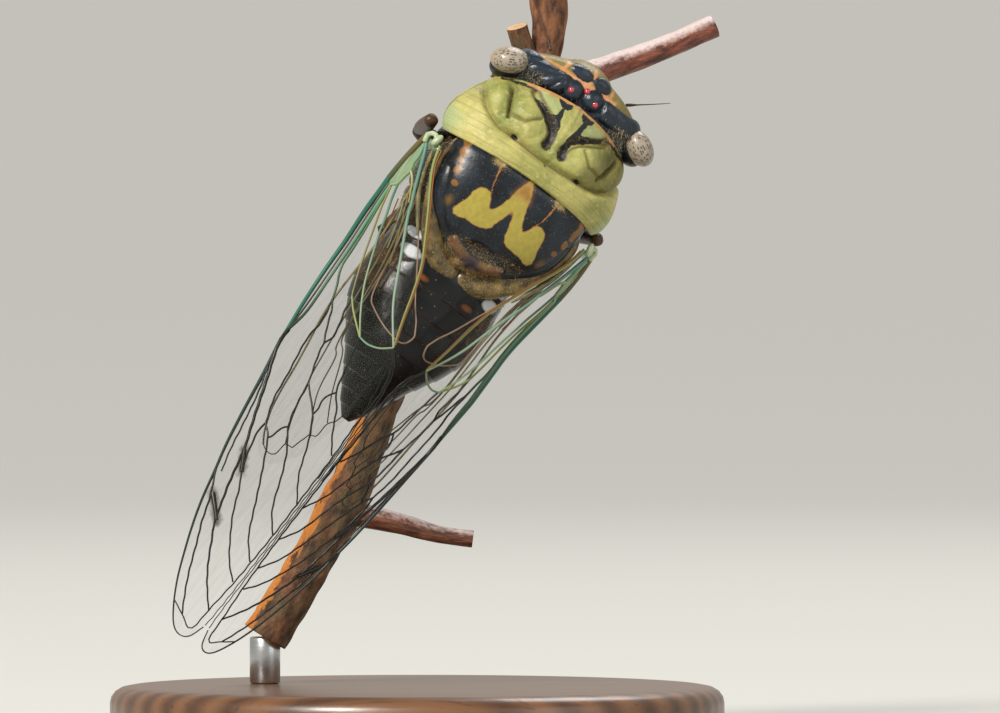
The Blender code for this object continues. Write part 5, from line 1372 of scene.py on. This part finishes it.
# ---- Stand
# A plain turned disc of dark oiled wood, flat underneath, with one steel rod let into it that
# carries the cut foot of the twig.
BASE_R, BASE_H = 26.0, 4.0
profile = [(0.6, 0.0), (BASE_R - 0.6, 0.0), (BASE_R - 0.15, 0.15), (BASE_R, 0.6)]
profile += [(BASE_R - r, z) for r, z in ((0, 2.6), (0.12, 3.1), (0.45, 3.55), (0.95, 3.85), (1.6, 3.97))]
profile += [(BASE_R - 2.4, BASE_H), (14.0, BASE_H), (0.6, BASE_H)]


def lathed(profile, sides, x=0.0, y=0.0):
    """Rings about an upright axis at x, y, from radius and height."""
    a = 2 * math.pi * np.arange(sides) / sides
    c, s = np.cos(a), np.sin(a)
    return np.array([np.stack((x + r * c, y + r * s, np.full(sides, z)), axis=1) for r, z in profile])


# Walnut, turned, sanded and oiled: long brown grain and fine dark pores under a soft sheen.
wood, add, wear = finish("stand_walnut", roughness=0.38, coat_weight=0.25, coat_roughness=0.2)
where = add("TexCoord")["Object"]
# Growth rings stand about 2 mm apart and run the length of the board, so the wave lies across y.
board = add("Mapping", {"Vector": where, "Rotation": (0.06, 0.04, 0.3), "Scale": (0.12, 1.0, 0.6)})[0]
growth = add("TexWave", {
    "Vector": board, "Scale": 120.0, "Distortion": 3.5, "Detail": 4.0, "Detail Scale": 1.2,
}, bands_direction="Y")["Fac"]
pores = add("Mapping", {"Vector": where, "Rotation": (0, 0, 0.3), "Scale": (130.0, 2600.0, 2600.0)})[0]
pores = add("TexNoise", {"Vector": pores, "Scale": 1.0, "Detail": 3.0})["Fac"]
grain = add("Mix", {0: growth, 6: "#4A2E1C", 7: "#6E4A2E"}, data_type="RGBA")[2]
dots = add("MapRange", {0: pores, 1: 0.58, 2: 0.72, 3: 0.0, 4: 0.6})[0]
grain = add("Mix", {0: dots, 6: grain, 7: "#2A180E"}, data_type="RGBA")[2]
wear(base_color=grain)
rise = add("Bump", {"Height": pores, "Strength": 0.15, "Distance": 0.0001})["Normal"]
wear(normal=rise)
disc = solid("stand_base_disc", lathed(profile, 192), {}, wood)
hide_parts("stand_base")
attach(disc, "root")

# Drawn steel rod, brushed round and round with fine cloth.
steel, add, wear = finish("stand_rod_steel", base_color="#B9BBBD", metallic=1.0, roughness=0.32)
where = add("TexCoord")["Object"]
fine = add("Mapping", {"Vector": where, "Scale": (300.0, 300.0, 9000.0)})[0]
fine = add("TexNoise", {"Vector": fine, "Scale": 1.0, "Detail": 2.0})["Fac"]
dull = add("MapRange", {0: fine, 1: 0.2, 2: 0.8, 3: 0.24, 4: 0.42})[0]
wear(roughness=dull)
profile = [(1.1, BASE_H), (1.3, 4.15), (1.3, 7.85), (1.2, 8.0)]
rod = solid("stand_rod_pin", lathed(profile, 48, TWIG_LINE[0][1], TWIG_Y), {}, steel)
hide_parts("stand_rod")
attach(rod, "root")


# ---- Backdrop, lights and camera
# A pale matt table that curves up far behind the stand, lit by one large soft box from the upper
# left as daylight falls in the photograph, a weaker one from the right and a faint one behind.
# Matt background paper, evenly lit from behind the animal as well.
paper, add, wear = finish("backdrop_paper", base_color="#8F8E88", roughness=0.9, specular_ior_level=0.2,
                     emission_color="#D9D7D0", emission_strength=0.58)
rows = [(0.02, 0.0), (1.2, 0.0), (1.7, 0.05), (2.1, 0.22), (2.4, 0.6), (2.5, 1.2), (2.5, 2.6)]
sides = 96
a = 2 * math.pi * np.arange(sides) / sides
verts = [(r * math.cos(w), r * math.sin(w), z) for r, z in rows for w in a] + [(0.0, 0.0, 0.0)]
faces = [(i, (i + 1) % sides, len(rows) * sides) for i in range(sides)]
faces += [(sides * j + i, sides * (j + 1) + i, sides * (j + 1) + (i + 1) % sides, sides * j + (i + 1) % sides)
          for j in range(len(rows) - 1) for i in range(sides)]
backdrop = piece("backdrop", verts, faces, paper)
backdrop.data.flip_normals()

aim = Vector((0.007, -0.0055, 0.034))
for name, place, size, power, tint in (
    # place and side in metres, watts, colour
    ("key_softbox", (-0.42, -0.62, 0.62), 0.2, 11.8, (1.0, 0.97, 0.92)),
    ("fill_softbox", (0.62, -0.45, 0.35), 0.5, 1.4, (0.94, 0.97, 1.0)),
    ("rim_softbox", (0.25, 0.5, 0.75), 0.4, 3.5, (1.0, 1.0, 1.0)),
):
    lamp = bpy.data.lights.new(name, "AREA")
    lamp.shape, lamp.size, lamp.energy, lamp.color = "SQUARE", size, power, tint
    box = placed(name, lamp)
    box.location = place
    box.rotation_euler = (aim - Vector(place)).to_track_quat("-Z", "Y").to_euler()
bpy.context.scene.view_settings.view_transform = "Standard"
sky = bpy.data.worlds.new("room")
sky.use_nodes = True
sky.node_tree.nodes["Background"].inputs["Color"].default_value = (0.86, 0.9, 0.95, 1.0)
sky.node_tree.nodes["Background"].inputs["Strength"].default_value = 0.24
bpy.context.scene.world = sky

lens = bpy.data.cameras.new("camera")
SENSOR, AWAY, SEEN = 36.0, 700.0, 84.0  # mm: sensor, from the lens to the head, and what it sees there
lens.sensor_width = SENSOR
lens.lens = SENSOR * AWAY / SEEN
lens.clip_start, lens.clip_end = 0.05, 20.0
camera = placed("camera", lens)
camera.location = (0.007, (HEAD_AT[1] - AWAY) / 1000, 0.03185)
camera.rotation_euler = (math.radians(90), 0.0, 0.0)
bpy.context.scene.camera = camera
